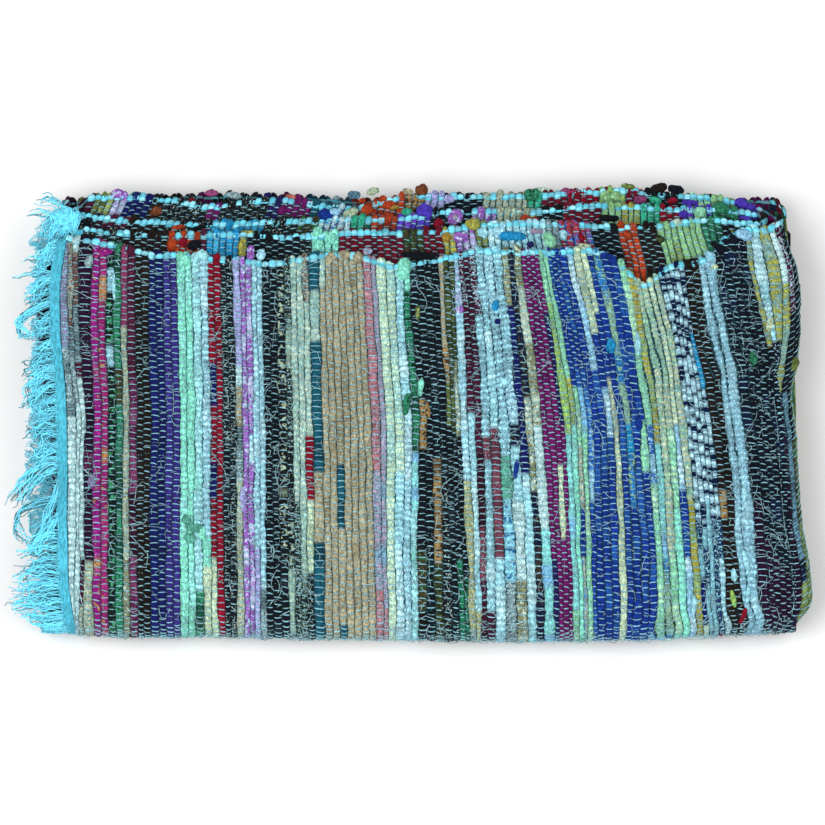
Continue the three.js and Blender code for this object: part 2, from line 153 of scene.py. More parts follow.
# Each cloth: its ground colour, its second colour, the kind of print that shows it, the share of it in
# patches along the rag, and how much the torn edges fray.
CLOTHS = {
    "sage": ("dae2d8", "f0f2ea", "speck", 0.3, 0.6),
    "mauve": ("9c7f9e", "8fb9c2", "speck", 0.3, 0.3),
    "bead": ("5c1d33", "2a1020", "plain", 0.3, 0.1),
    "rust": ("b3a690", "7c3c34", "speck", 0.3, 0.7),
    "grey": ("b9bfbb", "5f686a", "speck", 0.3, 1.0),
    "beige": ("c9bfa0", "a0916f", "speck", 0.2, 0.3),
    "plum": ("30102a", "1d0e1b", "plain", 0.3, 0.4),
    "batik": ("a8207a", "d08a50", "dots", 0.12, 0.1),
    "batik_warm": ("b02a6c", "d88a44", "dots", 0.3, 0.1),
    "black_green": ("16201c", "4c9a68", "blot", 0.1, 0.4),
    "emerald": ("3c8a60", "1b3c30", "speck", 0.3, 0.3),
    "pinkish": ("a0405f", "3a1530", "plain", 0.3, 0.1),
    "maroon_speck": ("5e1c3e", "9a4468", "speck", 0.3, 0.3),
    "brown": ("281a16", "15110f", "plain", 0.3, 0.2),
    "navy": ("1b1d5c", "14173a", "plain", 0.2, 0.2),
    "purple": ("43307d", "2c2260", "plain", 0.2, 0.3),
    "mint": ("a6f0ca", "b6f4dc", "plain", 0.3, 0.3),
    "aqua_mint": ("c4eee8", "a6e6cc", "plain", 0.3, 0.6),
    "red": ("9c1226", "6e0d1a", "plain", 0.2, 0.1),
    "cream": ("e6e0b4", "cfc79a", "plain", 0.3, 0.3),
    "black_white": ("1a1c20", "d4ceb8", "flecks", 0.0, 0.7),
    "lavender": ("c4a8d8", "d0cae2", "speck", 0.3, 0.3),
    "orchid": ("b868bc", "ead8ec", "blot", 0.3, 0.4),
    "aqua": ("bfe6ee", "e8f4f2", "speck", 0.3, 0.9),
    "black": ("14161b", "2a2e34", "plain", 0.2, 0.3),
    "cream_black": ("1b1a1c", "d6cfa8", "blot", 0.1, 0.6),
    "black_sage": ("262c2e", "c2ccb0", "speck", 0.3, 0.7),
    "beige_sage": ("dcdac0", "c0d4bc", "blot", 0.3, 0.6),
    "teal": ("1f5a68", "163f4a", "plain", 0.3, 0.1),
    "tan": ("c6a682", "b2926e", "plain", 0.3, 0.15),
    "salmon": ("d2797a", "c9a6b4", "speck", 0.3, 0.4),
    "pink_grey": ("c79fae", "8fb2c8", "speck", 0.3, 0.6),
    "pale_yellow": ("f0f0c4", "d0e8d4", "speck", 0.3, 0.2),
    "aqua_white": ("c4eaec", "eaf6f2", "plain", 0.4, 0.7),
    "emerald_dark": ("2c7f58", "12301f", "blot", 0.3, 0.4),
    "black_teal": ("14181d", "2c6f74", "flecks", 0.1, 0.5),
    "tan_orange": ("b98450", "5a3a24", "blot", 0.2, 0.3),
    "dark_olive": ("32361f", "6a6a3a", "speck", 0.2, 0.3),
    "aqua_lilac": ("c8e6ee", "cfc0e0", "blot", 0.3, 0.8),
    "maroon": ("531a30", "32101f", "plain", 0.3, 0.3),
    "dots": ("cfe9ee", "2a4a86", "flecks", 0.0, 0.7),
    "navy_brown": ("1c1f3a", "4a3828", "blot", 0.2, 0.4),
    "olive_cream": ("9a8c66", "e2dcc0", "blot", 0.3, 0.6),
    "magenta": ("80195e", "60144c", "plain", 0.2, 0.1),
    "navy_plum": ("2a2054", "46204c", "plain", 0.3, 0.2),
    "yellow_green": ("b4c460", "93c07a", "blot", 0.3, 0.2),
    "beige_blue": ("bdb79a", "6f9cd0", "speck", 0.3, 0.5),
    "blue_pale": ("3668b0", "bcd8e4", "blot", 0.3, 0.6),
    "royal": ("1a3688", "2a589e", "plain", 0.35, 0.2),
    "blue_green": ("3578b0", "a4b88c", "blot", 0.4, 0.5),
    "light_green": ("a4d8a8", "d0e4b4", "plain", 0.4, 0.4),
    "mustard": ("c3a84a", "9fb06c", "plain", 0.4, 0.3),
    "beige_cream": ("d3c9a4", "a9c8a0", "blot", 0.3, 0.5),
    "mint_blue": ("9fdcd0", "8fb8e0", "plain", 0.4, 0.5),
    "blue_white": ("b4d4ea", "eef4f4", "plain", 0.4, 0.7),
    "aqua_grey": ("a9cbd6", "c8e2e8", "speck", 0.3, 0.9),
    "aqua_torn": ("bfe4ea", "1c3048", "flecks", 0.0, 1.0),
    "houndstooth": ("0e1a3e", "dcecf0", "check", 0.0, 0.3),
    "black_navy": ("13161f", "1a2240", "plain", 0.25, 0.5),
    "yellow_cream": ("b8a650", "93a89a", "blot", 0.35, 0.4),
    "orange_red": ("c8411f", "8a2a1c", "plain", 0.3, 0.1),
    "turquoise": ("2c93c0", "55b8d4", "plain", 0.3, 0.1),
    "crimson": ("7e1527", "5a0f1e", "plain", 0.3, 0.1),
    "brown_green": ("4a3a24", "3c6c3c", "blot", 0.3, 0.3),
    "olive": ("74763a", "a9a860", "blot", 0.3, 0.2),
    "patriot": ("c23a44", "3f6fb8", "blot", 0.2, 0.3),
    "lime": ("a6c684", "86854a", "plain", 0.4, 0.2),
    "violet": ("5c3bb0", "8a4cb8", "plain", 0.4, 0.1),
    "jade": ("3fae84", "2a6a54", "plain", 0.3, 0.1),
    "grey_blue": ("6f8a98", "3c4a58", "speck", 0.3, 0.4),
    "maroon_white": ("531a30", "d9d4dc", "speck", 0.1, 0.5),
    "mustard_beige": ("c3b078", "ddd2a8", "speck", 0.3, 0.4),
    "reddish": ("8a4450", "6a2c3a", "plain", 0.3, 0.3),
    "print_pale": ("a4d8e2", "3a78a4", "blot", 0.2, 0.5),
    "aqua_navy": ("24345c", "a9d8dc", "speck", 0.4, 0.8),
    "russet": ("8e4426", "5e2c1c", "plain", 0.3, 0.5),
    "rose": ("a8456f", "7c2c58", "plain", 0.3, 0.3),
    "ochre": ("c0893a", "8e5c2a", "plain", 0.3, 0.3),
    "sea_green": ("6fae92", "9fd0b8", "plain", 0.3, 0.8),
    "coral": ("dc6a5c", "b84a48", "plain", 0.2, 0.1),
    "print_mix": ("dfe6e4", "2f56b0", "blot", 0.1, 0.4),
}

# The rags of the top layer in order from the start end: width, then the cloth from the front fold
# backwards, with each place where another rag was joined on.
TOP_CHART = [
    (8, "sage", 210, "grey", 282, "mauve"),
    (8, "sage", 220, "grey", 304, "rust"),
    (9, "beige", 20, "bead", 60, "sage", 250, "bead", 268, "grey", 330, "rust", 385, "sage"),
    (9, "beige", 57, "plum", 150, "maroon_speck", 172, "plum"),
    (7.5, "batik"),
    (7.5, "batik_warm"),
    (7, "black_green", 262, "aqua", 285, "black_green", 345, "aqua", 368, "black_green"),
    (7, "emerald", 222, "brown_green", 262, "emerald"),
    (6, "olive_cream", 80, "beige", 180, "beige", 304, "pinkish"),
    (8, "maroon_speck", 60, "bead", 130, "maroon_speck", 250, "bead"),
    (6.5, "brown"),
    (6.5, "brown"),
    (7.5, "navy"),
    (7.5, "navy"),
    (7, "purple"),
    (7, "purple"),
    (7.5, "mint"),
    (7.5, "mint"),
    (8, "emerald", 28, "aqua_mint"),
    (8, "cream", 50, "mint", 80, "aqua"),
    (6.5, "cream", 60, "red", 120, "navy", 160, "red", 222, "navy", 267, "red"),
    (6.5, "red"),
    (6.5, "black_white", 110, "black", 180, "black_white"),
    (6.5, "black_white"),
    (7, "beige", 140, "grey", 200, "tan", 240, "sage", 262, "lavender"),
    (5.5, "orchid"),
    (5.5, "orchid", 160, "aqua", 190, "orchid"),
    (6, "lavender", 70, "aqua"),
    (6, "grey", 30, "aqua"),
    (7, "black"),
    (7, "black"),
    (8.5, "black", 60, "cream_black"),
    (6, "black_sage", 50, "cream_black", 100, "black_white", 180, "black_sage"),
    (6, "black_sage", 120, "beige_sage"),
    (7, "black_sage", 70, "beige_sage"),
    (7, "black_white", 45, "cream", 120, "red", 170, "red", 190, "beige_sage", 330, "rust"),
    (10, "teal", 75, "tan", 150, "teal", 290, "beige_sage", 345, "teal"),
    (7.4, "tan", 350, "beige_sage"),
    (7.4, "tan"),
    (7.4, "teal", 12, "tan", 90, "teal", 160, "tan"),
    (7.4, "tan"),
    (7.4, "tan"),
    (7.4, "tan"),
    (7.4, "tan"),
    (7, "salmon", 30, "pink_grey", 150, "salmon"),
    (4, "salmon", 20, "pink_grey"),
    (7.5, "pale_yellow"),
    (7, "aqua_white", 150, "pale_yellow"),
    (6.5, "aqua", 190, "aqua_white", 340, "aqua_mint"),
    (6, "aqua_mint", 110, "mint_blue", 170, "emerald", 255, "emerald_dark", 345, "mint"),
    (7.2, "brown", 20, "brown_green", 70, "black", 175, "tan_orange", 228, "black"),
    (7.2, "black_teal", 60, "black"),
    (7.2, "dark_olive", 57, "tan_orange", 165, "black_teal", 230, "black"),
    (7.2, "black_white", 140, "black"),
    (7, "black_teal", 30, "black", 200, "olive", 245, "tan_orange", 287, "tan"),
    (6.5, "emerald_dark", 60, "black", 190, "dark_olive"),
    (5.5, "emerald_dark", 40, "black", 190, "olive_cream", 270, "dark_olive"),
    (9, "grey", 10, "mustard_beige", 142, "aqua", 310, "aqua_lilac"),
    (7, "mustard_beige", 20, "aqua_white", 215, "maroon", 330, "maroon_white"),
    (7, "maroon", 40, "reddish", 90, "maroon", 340, "bead"),
    (7.3, "maroon", 20, "aqua_white", 110, "aqua_torn", 165, "reddish", 190, "aqua_torn",
     320, "maroon_white"),
    (7.3, "aqua_white", 60, "reddish", 200, "aqua_white", 300, "aqua_torn"),
    (8.5, "grey", 40, "print_pale", 120, "sea_green", 170, "aqua_torn", 330, "dots"),
    (8.5, "olive_cream", 40, "sage", 120, "aqua_white", 180, "navy_brown", 200, "dots", 262, "aqua_torn"),
    (6.5, "aqua_white", 150, "navy", 330, "olive_cream"),
    (5.5, "navy_brown", 130, "olive_cream", 230, "navy_brown"),
    (8, "mint_blue", 90, "sage", 200, "olive_cream"),
    (7.2, "navy_plum", 60, "magenta"),
    (7.2, "magenta"),
    (7.2, "magenta", 80, "cream", 160, "magenta"),
    (5, "magenta", 200, "navy_plum", 320, "magenta"),
    (8.5, "light_green", 20, "mint_blue", 190, "yellow_green", 330, "light_green"),
    (7, "mint", 200, "mustard", 250, "light_green"),
    (6, "beige_blue", 60, "royal", 110, "beige", 180, "light_green", 240, "royal"),
    (7, "light_green", 190, "mint_blue", 240, "royal"),
    (7, "royal", 120, "blue_pale", 240, "royal"),
    (7, "royal"),
    (7, "royal", 260, "blue_white"),
    (7, "royal", 190, "blue_white", 240, "royal", 300, "cream"),
    (6, "cream", 180, "beige", 250, "royal", 320, "cream"),
    (6.5, "royal"),
    (7.5, "royal", 110, "blue_green", 170, "turquoise", 200, "blue_green"),
    (7, "royal"),
    (7, "royal", 150, "light_green", 205, "royal"),
    (6.5, "light_green", 140, "blue_pale", 200, "light_green"),
    (6.5, "blue_green", 60, "mint_blue", 180, "mustard"),
    (7, "light_green", 60, "beige_cream"),
    (7, "mint", 110, "light_green", 190, "beige_cream"),
    (6.5, "blue_white", 60, "royal", 130, "blue_white", 200, "cream"),
    (7, "mustard", 120, "beige_cream"),
    (5, "cream", 10, "navy", 40, "aqua_navy", 100, "houndstooth"),
    (5, "aqua_navy", 90, "houndstooth"),
    (5, "aqua_navy", 120, "houndstooth"),
    (5, "red", 0, "aqua_navy", 100, "houndstooth"),
    (5, "red", 0, "aqua", 60, "aqua_navy", 100, "houndstooth", 240, "turquoise", 300, "houndstooth"),
    (8, "brown", 100, "tan_orange", 130, "brown"),
    (8, "brown"),
    (8, "aqua_grey"),
    (8, "aqua_grey"),
    (8, "plum", 120, "black_navy"),
    (8, "plum", 80, "black_navy"),
    (8, "plum", 60, "black_navy"),
    (8, "plum", 50, "black_navy"),
    (8, "plum", 40, "black_navy"),
    (7, "black_navy", 285, "yellow_cream"),
    (7, "plum", 290, "aqua_white"),
    (8, "black_navy", 290, "yellow_cream"),
]

# Where some of the top layer's rags lie, as photograph pixels along at five places across: the rag's
# number, then its left edge at each place. The layer is drawn to the left towards its selvage.
LINE_PLACES = np.array([-13.0, 100.0, 207.0, 304.0, 379.0])
RAG_LINES = np.array([
    (1, 77, 77, 77, 67, 66), (3, 86, 85, 86, 79, 78), (4, 96, 94, 94, 90, 91),
    (16, 183, 180, 181, 178, 176), (37, 326, 324, 322, 320, 318), (44, 376, 373, 371, 366, 361),
    (50, 418, 417, 420, 411, 409), (54, 452, 449, 446, 441, 437), (57, 470, 464, 459, 456, 452),
    (60, 486, 484, 481, 476, 467), (67, 555, 548, 541, 530, 521), (76, 596, 594, 592, 577, 558),
    (91, 706, 699, 689, 676, 661), (96, 733, 727, 718, 698, 690), (98, 747, 741, 729, 716, 704),
    (100, 767, 763, 752, 735, 722), (105, 793, 790, 783, 769, 751),
], float)

# The rags of the layers below, as photograph pixels from left to right up to which each cloth runs.
SECOND_CHART = [
    (80, "black_white"), (120, "black_white"), (165, "brown"), (200, "orange_red"), (206, "bead"),
    (238, "turquoise"), (246, "mustard"), (300, "black"), (312, "black_white"), (335, "mint"),
    (400, "crimson"), (425, "brown_green"), (444, "crimson"), (452, "mustard"), (475, "orchid"),
    (484, "olive"), (545, "aqua_white"), (560, "grey"), (590, "patriot"), (620, "black"),
    (637, "orange_red"), (655, "brown"), (700, "lime"), (720, "emerald"), (2000, "black"),
]
THIRD_CHART = [
    (100, "black_white"), (125, "bead"), (160, "brown"), (215, "black_white"), (262, "turquoise"),
    (300, "black_white"), (318, "brown_green"), (350, "print_mix"), (372, "jade"), (400, "orange_red"),
    (432, "violet"), (470, "black_navy"), (500, "orchid"), (535, "beige"), (560, "black"), (600, "crimson"),
    (622, "lime"), (640, "mustard"), (662, "jade"), (688, "red"), (715, "violet"), (736, "emerald"),
    (770, "purple"), (2000, "coral"),
]
FOURTH_CHART = [
    (96, "bead"), (112, "olive"), (128, "orchid"), (150, "navy"), (165, "brown"), (205, "black_white"),
    (220, "magenta"), (265, "black_white"), (290, "navy_plum"), (312, "magenta"), (335, "teal"),
    (345, "print_mix"), (357, "grey_blue"), (402, "orange_red"), (428, "tan_orange"), (445, "lavender"),
    (480, "black_navy"), (526, "beige"), (542, "jade"), (570, "crimson"), (600, "red"),
    (625, "yellow_green"), (645, "crimson"), (690, "black"), (712, "light_green"), (740, "lime"),
    (766, "magenta"), (2000, "purple"),
]
# Knots, bunched rag ends and torn scraps by the layer they lie on: photograph pixels along and down,
# half sizes along and down in pixels, how far they stand off in millimetres, and the cloth.
LUMPS = {
    "fourth": [
        (115, 194, 7, 5, 2, "orchid"), (136, 194, 7, 3, 1, "teal"), (153, 196, 5, 2, 1, "black_navy"),
        (154, 212, 6, 6, 3, "russet"), (146, 222, 3, 4, 2, "russet"), (210, 193, 7, 4, 2, "rose"),
        (190, 200, 4, 3, 1, "crimson"), (232, 195, 9, 4, 1, "grey"), (266, 195, 4, 3, 1, "navy"),
        (291, 197, 8, 3, 1, "coral"), (282, 210, 6, 6, 1, "magenta"), (308, 201, 8, 3, 1, "teal"),
        (353, 195, 7, 5, 2, "grey_blue"), (372, 191, 7, 4, 2, "beige_cream"),
        (361, 201, 4, 3, 2, "orange_red"), (388, 205, 7, 5, 2, "orange_red"), (394, 208, 5, 3, 3, "ochre"),
        (407, 192, 6, 4, 2, "tan"), (421, 190, 7, 6, 3, "russet"), (449, 199, 6, 5, 2, "lavender"),
        (532, 195, 9, 7, 3, "emerald"), (543, 190, 8, 4, 1, "beige_sage"), (568, 192, 7, 5, 2, "rose"),
        (583, 191, 4, 2, 1, "crimson"), (608, 189, 5, 3, 1, "crimson"), (629, 187, 8, 4, 2, "olive"),
        (659, 188, 10, 5, 2, "brown"), (677, 189, 9, 5, 1, "black_navy"), (606, 197, 6, 7, 2, "lime"),
        (616, 197, 6, 7, 2, "lime"), (641, 200, 7, 5, 2, "rose"), (656, 201, 7, 5, 2, "jade"),
        (673, 201, 6, 4, 2, "red"), (691, 203, 9, 4, 2, "violet"), (711, 196, 7, 3, 1, "brown"),
        (742, 204, 7, 7, 2, "violet"), (752, 211, 7, 8, 2, "violet"), (774, 220, 6, 6, 2, "magenta"),
        (767, 228, 5, 4, 3, "coral"),
    ],
    "third": [
        (86, 222, 5, 5, 2, "black_teal"), (197, 229, 7, 3, 2, "black"), (177, 228, 7, 3, 2, "orange_red"),
        (129, 219, 4, 2, 2, "crimson"), (325, 215, 9, 6, 3, "royal"), (334, 213, 6, 4, 5, "blue_white"),
        (350, 213, 8, 5, 3, "beige_cream"), (366, 210, 6, 6, 2, "orange_red"), (406, 212, 6, 4, 2, "jade"),
        (424, 211, 9, 7, 3, "violet"), (455, 218, 8, 8, 3, "orchid"), (455, 220, 3, 3, 9, "pink_grey"),
        (438, 224, 6, 6, 2, "red"), (512, 211, 6, 3, 1, "beige"), (567, 222, 6, 4, 2, "red"),
        (609, 219, 11, 4, 3, "black"), (660, 224, 6, 3, 1, "olive"), (684, 215, 5, 5, 2, "violet"),
        (701, 215, 7, 8, 3, "light_green"), (722, 209, 9, 7, 2, "emerald"), (733, 221, 8, 7, 2, "emerald"),
        (746, 222, 7, 7, 2, "violet"), (525, 221, 6, 6, 3, "orange_red"), (534, 223, 5, 6, 3, "orange_red"),
    ],
    "second": [
        (171, 246, 6, 7, 2, "orange_red"), (182, 243, 5, 5, 2, "red"), (193, 246, 8, 6, 2, "black"),
        (240, 247, 4, 5, 3, "mustard"), (249, 233, 4, 2, 2, "mustard"), (317, 232, 5, 5, 3, "mint"),
        (330, 239, 5, 7, 3, "mint"), (318, 246, 5, 6, 3, "mint"), (446, 238, 5, 6, 2, "ochre"),
        (472, 225, 8, 6, 3, "mustard"), (460, 238, 8, 6, 3, "orchid"), (482, 233, 6, 6, 2, "aqua_white"),
        (498, 232, 7, 5, 2, "aqua"), (512, 237, 15, 6, 2, "turquoise"), (536, 232, 8, 4, 2, "pink_grey"),
        (563, 236, 5, 6, 2, "aqua"), (581, 238, 4, 6, 2, "red"), (627, 236, 4, 5, 3, "orange_red"),
        (678, 223, 6, 4, 2, "beige_sage"), (694, 262, 10, 3, 2, "brown"), (660, 240, 5, 5, 2, "dark_olive"),
        (733, 237, 4, 6, 3, "mustard"),
    ],
    "top": [
        (104, 253, 8, 4, 2, "batik"), (118, 249, 4, 6, 2, "emerald"), (183, 262, 7, 6, 2, "mint"),
        (201, 257, 6, 6, 3, "aqua_mint"), (250, 254, 4, 8, 3, "orchid"), (260, 256, 5, 6, 2, "aqua"),
        (215, 258, 4, 2, 2, "crimson"), (330, 259, 6, 5, 2, "tan"), (344, 256, 6, 5, 2, "tan"),
        (357, 258, 6, 5, 2, "tan"), (367, 252, 5, 4, 2, "pink_grey"), (418, 256, 19, 4, 3, "black"),
        (403, 270, 7, 12, 2.5, "mint"), (549, 241, 7, 8, 3, "light_green"), (530, 245, 4, 3, 1, "navy_plum"),
        (584, 247, 7, 3, 2, "beige"), (744, 236, 8, 6, 4, "blue_white"), (714, 268, 4, 3, 2, "cream"),
        (196, 529, 7, 5, 3.5, "sea_green"), (187, 521, 5, 5, 3, "sea_green"),
        (191, 539, 6, 5, 3, "sea_green"), (203, 534, 4, 7, 3, "mint"), (504, 383, 6, 5, 3, "aqua_white"),
        (610, 348, 5, 8, 3, "turquoise"), (495, 307, 4, 6, 2.5, "turquoise"), (497, 323, 3, 3, 3, "navy"),
        (459, 311, 4, 4, 3, "orchid"), (417, 314, 2.5, 7, 4, "olive"), (752, 361, 4, 8, 3, "emerald"),
        (730, 596, 3, 8, 4, "yellow_green"), (731, 612, 3, 8, 3.5, "red"), (742, 495, 3, 8, 3, "aqua_white"),
        (743, 561, 3, 11, 3, "aqua_white"), (745, 593, 2.5, 8, 3, "aqua_white"),
        (731, 575, 3, 7, 3, "aqua_white"), (769, 326, 4, 8, 2, "cream"), (793, 363, 5, 7, -6, "olive"),
        (113, 288, 2, 15, 2.5, "aqua_white"), (88, 262, 4, 7, 2.5, "grey"), (93, 482, 5, 7, 2, "mauve"),
        (243, 500, 3, 13, 3, "lavender"), (247, 535, 3, 12, 3, "orchid"), (420, 388, 3, 10, 3, "mint"),
        (406, 405, 4, 12, 2.5, "emerald"), (427, 410, 3, 9, 3, "tan_orange"), (637, 425, 4, 7, 3, "royal"),
        (655, 640, 5, 3, 2, "blue_white"), (637, 345, 3, 12, 3, "aqua_white"),
        (690, 600, 3, 9, 3, "aqua_white"), (515, 470, 3, 10, 3, "royal"),
    ],
}
# The rags of the outer turn from its upper end, by place as the top layer's, and of the hidden turns.
RIGHT_TURN_CHART = [
    (7, "plum", 90, "black_navy", 235, "yellow_cream", 352, "sage"),
    (7, "olive", 34, "black_navy", 60, "grey_blue", 235, "black", 322, "maroon_white"),
    (7, "olive", 100, "brown_green", 190, "black"),
    (7, "olive", 300, "black"),
    (7, "emerald_dark"), (7, "crimson"), (7, "navy_brown"),
]
LEFT_TURN_CHART = ["maroon", "bead", "plum"]
INNER_TURN_CHART = ["brown", "crimson"]

MM = 0.001
# The photograph's view: its elevation in degrees, its middle column and the millimetres to a pixel.
PHOTO_ELEVATION = 72.0
PHOTO_MIDDLE = 412.0
PHOTO_SCALE = 1.02
# Rows of the photograph: that of the front edge, the rows that a layer shows lower for a millimetre of
# depth, the millimetres of place to a row, and the place of the front edge.
FRONT_ROW = 635.0
ROWS_PER_DEPTH = 0.303
PLACE_PER_ROW = 1.0725
FRONT_EDGE_PLACE = -23.4
# In the source's own millimetres: where the first fringe's solid ends on the right.
START_RIGHT = -339.4
# On the floor side the rags keep this share less of their height, and stay this far off the floor.
PRESSED = 0.16
FLOOR_CLEARANCE = 0.3
FIRST_RAG_SEED = 11
SEEDS = {"rags": 21, "warp": 31, "cords": 41, "headings": 51, "fringes": 61, "threads": 71, "lumps": 81}


def linear(code):
    """The linear colour of an sRGB hex value, by the standard curve."""
    part = np.array([int(code[i:i + 2], 16) for i in (0, 2, 4)]) / 255.0
    return np.where(part <= 0.04045, part / 12.92, ((part + 0.055) / 1.055) ** 2.4)


def lerp(low, high, part):
    """The value that lies a part of the way from low to high."""
    return low + (high - low) * part


def smoothstep(value, low, high):
    """Zero below low, one above high, and three part squared less two part cubed between."""
    part = np.clip((value - low) / (high - low), 0.0, 1.0)
    return part * part * (3.0 - 2.0 * part)


def eased(at, keys, values, spread):
    """A table read by straight interpolation, averaged over five points within spread of each place."""
    total = 0.0
    for shift, weight in ((-1.0, 0.1), (-0.5, 0.24), (0.0, 0.32), (0.5, 0.24), (1.0, 0.1)):
        total = total + weight * np.interp(at + shift * spread, keys, values)
    return total


def drift(rng, count, length, step):
    """Smooth noise from -1 to 1 for count rows: random knots every step samples, joined by a cosine ease."""
    knots = rng.uniform(-1.0, 1.0, (count, int(length / step) + 3))
    place = np.arange(length) / step
    low = place.astype(int)
    part = 0.5 - 0.5 * np.cos(np.pi * (place - low))
    return lerp(knots[:, low], knots[:, low + 1], part)


def either(rng, *size):
    """Random shares from -1 to 1."""
    return rng.uniform(-1.0, 1.0, size)


def place_of(across, depth):
    """Distance along the middle of the stack from the front fold: the turn counts as FRONT_PLACE."""
    quarter = 0.5 * np.pi * depth
    inside = across / quarter * FRONT_PLACE
    outside = across + np.sign(across) * (FRONT_PLACE - quarter)
    return np.where(np.abs(across) <= quarter, inside, outside)


def swell(along, place):
    """The share by which the stack is thicker: Gaussian humps, faded in behind the front fold."""
    rise = 0.0
    for hump_along, hump_place, spread_along, spread_place, height in SWELLS:
        far = ((along - hump_along) / spread_along) ** 2 + ((place - hump_place) / spread_place) ** 2
        rise = rise + height * np.exp(-far)
    return rise / TOP_DEPTH * smoothstep(place, 0.0, 2.0 * FRONT_PLACE)


def fold_line(name, place):
    """Where an end or a length fold lies along the rug, at a place across the width."""
    return eased(place, FOLD_LINES[:, 0], FOLD_LINES[:, LINE_COLUMN[name]], 9.0)


def frame_shift():
    """How far the solid's own millimetres were moved to centre it, read from its boxes."""
    start_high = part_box("fringe_start")[1][0] / MM
    field_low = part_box("rug_field")[0][1] / MM
    return np.array([start_high - START_RIGHT, field_low + FRONT_AXIS_HEIGHT, 0.0])


SHIFT = frame_shift()


class Course:
    """One straight layer of the stack, or one turn between two layers.

    A straight course spans from its left line to its right line. A turn goes round a length fold,
    from its first angle to its last, counted in the plane of along and depth.
    """

    def __init__(self, depth, left, right, inset=0.0, turn=None):
        self.depth = depth
        self.left = left
        self.right = right
        self.inset = inset
        self.turn = turn
        self.length = LAYER_LENGTH if turn is None else np.pi * turn["radius"]

    def angle(self, t):
        """The angle of a turn, straight from its first to its last as t goes from 0 to its length."""
        return lerp(self.turn["first"], self.turn["last"], t / self.length)

    def depth_at(self, t):
        """The depth of the cloth's middle: constant on a layer, and a circle's sine round a turn."""
        if self.turn is None:
            return np.full_like(t, self.depth)
        return self.depth + self.turn["radius"] * np.sin(self.angle(t))

    def edges(self, t):
        """Lowest and highest distance across at t, where the selvages are."""
        depth = self.depth_at(t)
        quarter = 0.5 * np.pi * depth
        if self.turn is None:
            along = lerp(SELVAGE[0, 0], SELVAGE[-1, 0], t / self.length)
            back = eased(along, SELVAGE[:, 0], SELVAGE[:, BACK_COLUMN[self.depth]], 8.0)
            sway = 3.0 * np.sin(along / 55.0 + self.depth)
            return -quarter - UNDER_REACH[self.depth] - sway, quarter + back
        part = t / self.length
        end = self.turn["end"]
        low, high = self.turn["layers"]
        back = lerp(SELVAGE[end, BACK_COLUMN[low]], SELVAGE[end, BACK_COLUMN[high]], part)
        reach = lerp(UNDER_REACH[low], UNDER_REACH[high], part)
        return -quarter - reach, quarter + back

    def fold(self, points):
        """Folded places in metres of flat points. Along comes from the fold lines, the width fold bends
        the stack round the front axis by the angle across over depth, and lift moves outwards. The front
        fold then bows out a little. On the floor side the rags are pressed flatter and stay above it."""
        t, across, lift = points[..., 0], points[..., 1], points[..., 2]
        lift = lift * (1.0 - PRESSED * smoothstep(-across, 0.0, 60.0))
        depth = self.depth_at(t)
        place = place_of(across, depth)
        if self.turn is None:
            left = fold_line(self.left, place)
            right = fold_line(self.right, place) - self.inset
            along = lerp(left, right, t / self.length)
            radial = lift
        else:
            angle = self.angle(t)
            line = fold_line(self.left, place) - self.inset
            along = line + (self.turn["radius"] + lift) * np.cos(angle)
            radial = lift * np.sin(angle)
        quarter = 0.5 * np.pi * depth
        turn = np.clip(across, -quarter, quarter) / depth
        beyond = np.maximum(np.abs(across) - quarter, 0.0)
        radius = depth * (1.0 + swell(along, place)) + radial
        near = 1.0 - smoothstep(np.abs(place), 0.0, 3.0 * FRONT_PLACE)
        bow = eased(along, FRONT_BOW[:, 0], FRONT_BOW[:, 1], 10.0)
        forward = beyond - radius * np.cos(turn) - near * bow
        upward = np.maximum(FRONT_AXIS_HEIGHT + radius * np.sin(turn), FLOOR_CLEARANCE)
        return (np.stack([along, forward, upward], axis=-1) + SHIFT) * MM


def turn_of(low, high, line, first, last, end, inset=0.0):
    """A turn between two layers that lie one above the other, halfway between their depths."""
    facts = {
        "radius": abs(high - low) / 2.0,
        "first": np.radians(first),
        "last": np.radians(last),
        "layers": (high, low) if first == 90 else (low, high),
        "end": end,
    }
    return Course((low + high) / 2.0, line, line, inset, facts)


COURSES = {
    "top": Course(TOP_DEPTH, "start", "right"),
    "second": Course(SECOND_DEPTH, "finish", "right", INNER_FOLD_INSET),
    "third": Course(THIRD_DEPTH, "left", "right", INNER_FOLD_INSET),
    "fourth": Course(FOURTH_DEPTH, "left", "right"),
    "outer_turn": turn_of(FOURTH_DEPTH, TOP_DEPTH, "right", 90, -90, -1),
    "left_turn": turn_of(FOURTH_DEPTH, THIRD_DEPTH, "left", 270, 90, 0),
    "inner_turn": turn_of(THIRD_DEPTH, SECOND_DEPTH, "right", 90, -90, -1, INNER_FOLD_INSET),
}


# Each look's kind of attribute, with the field that holds it.
LOOK_KINDS = {
    "rag_tint": ("FLOAT_COLOR", "color"), "rag_second": ("FLOAT_COLOR", "color"),
    "rag_print": ("FLOAT_VECTOR", "vector"), "cloth_place": ("FLOAT_VECTOR", "vector"),
}


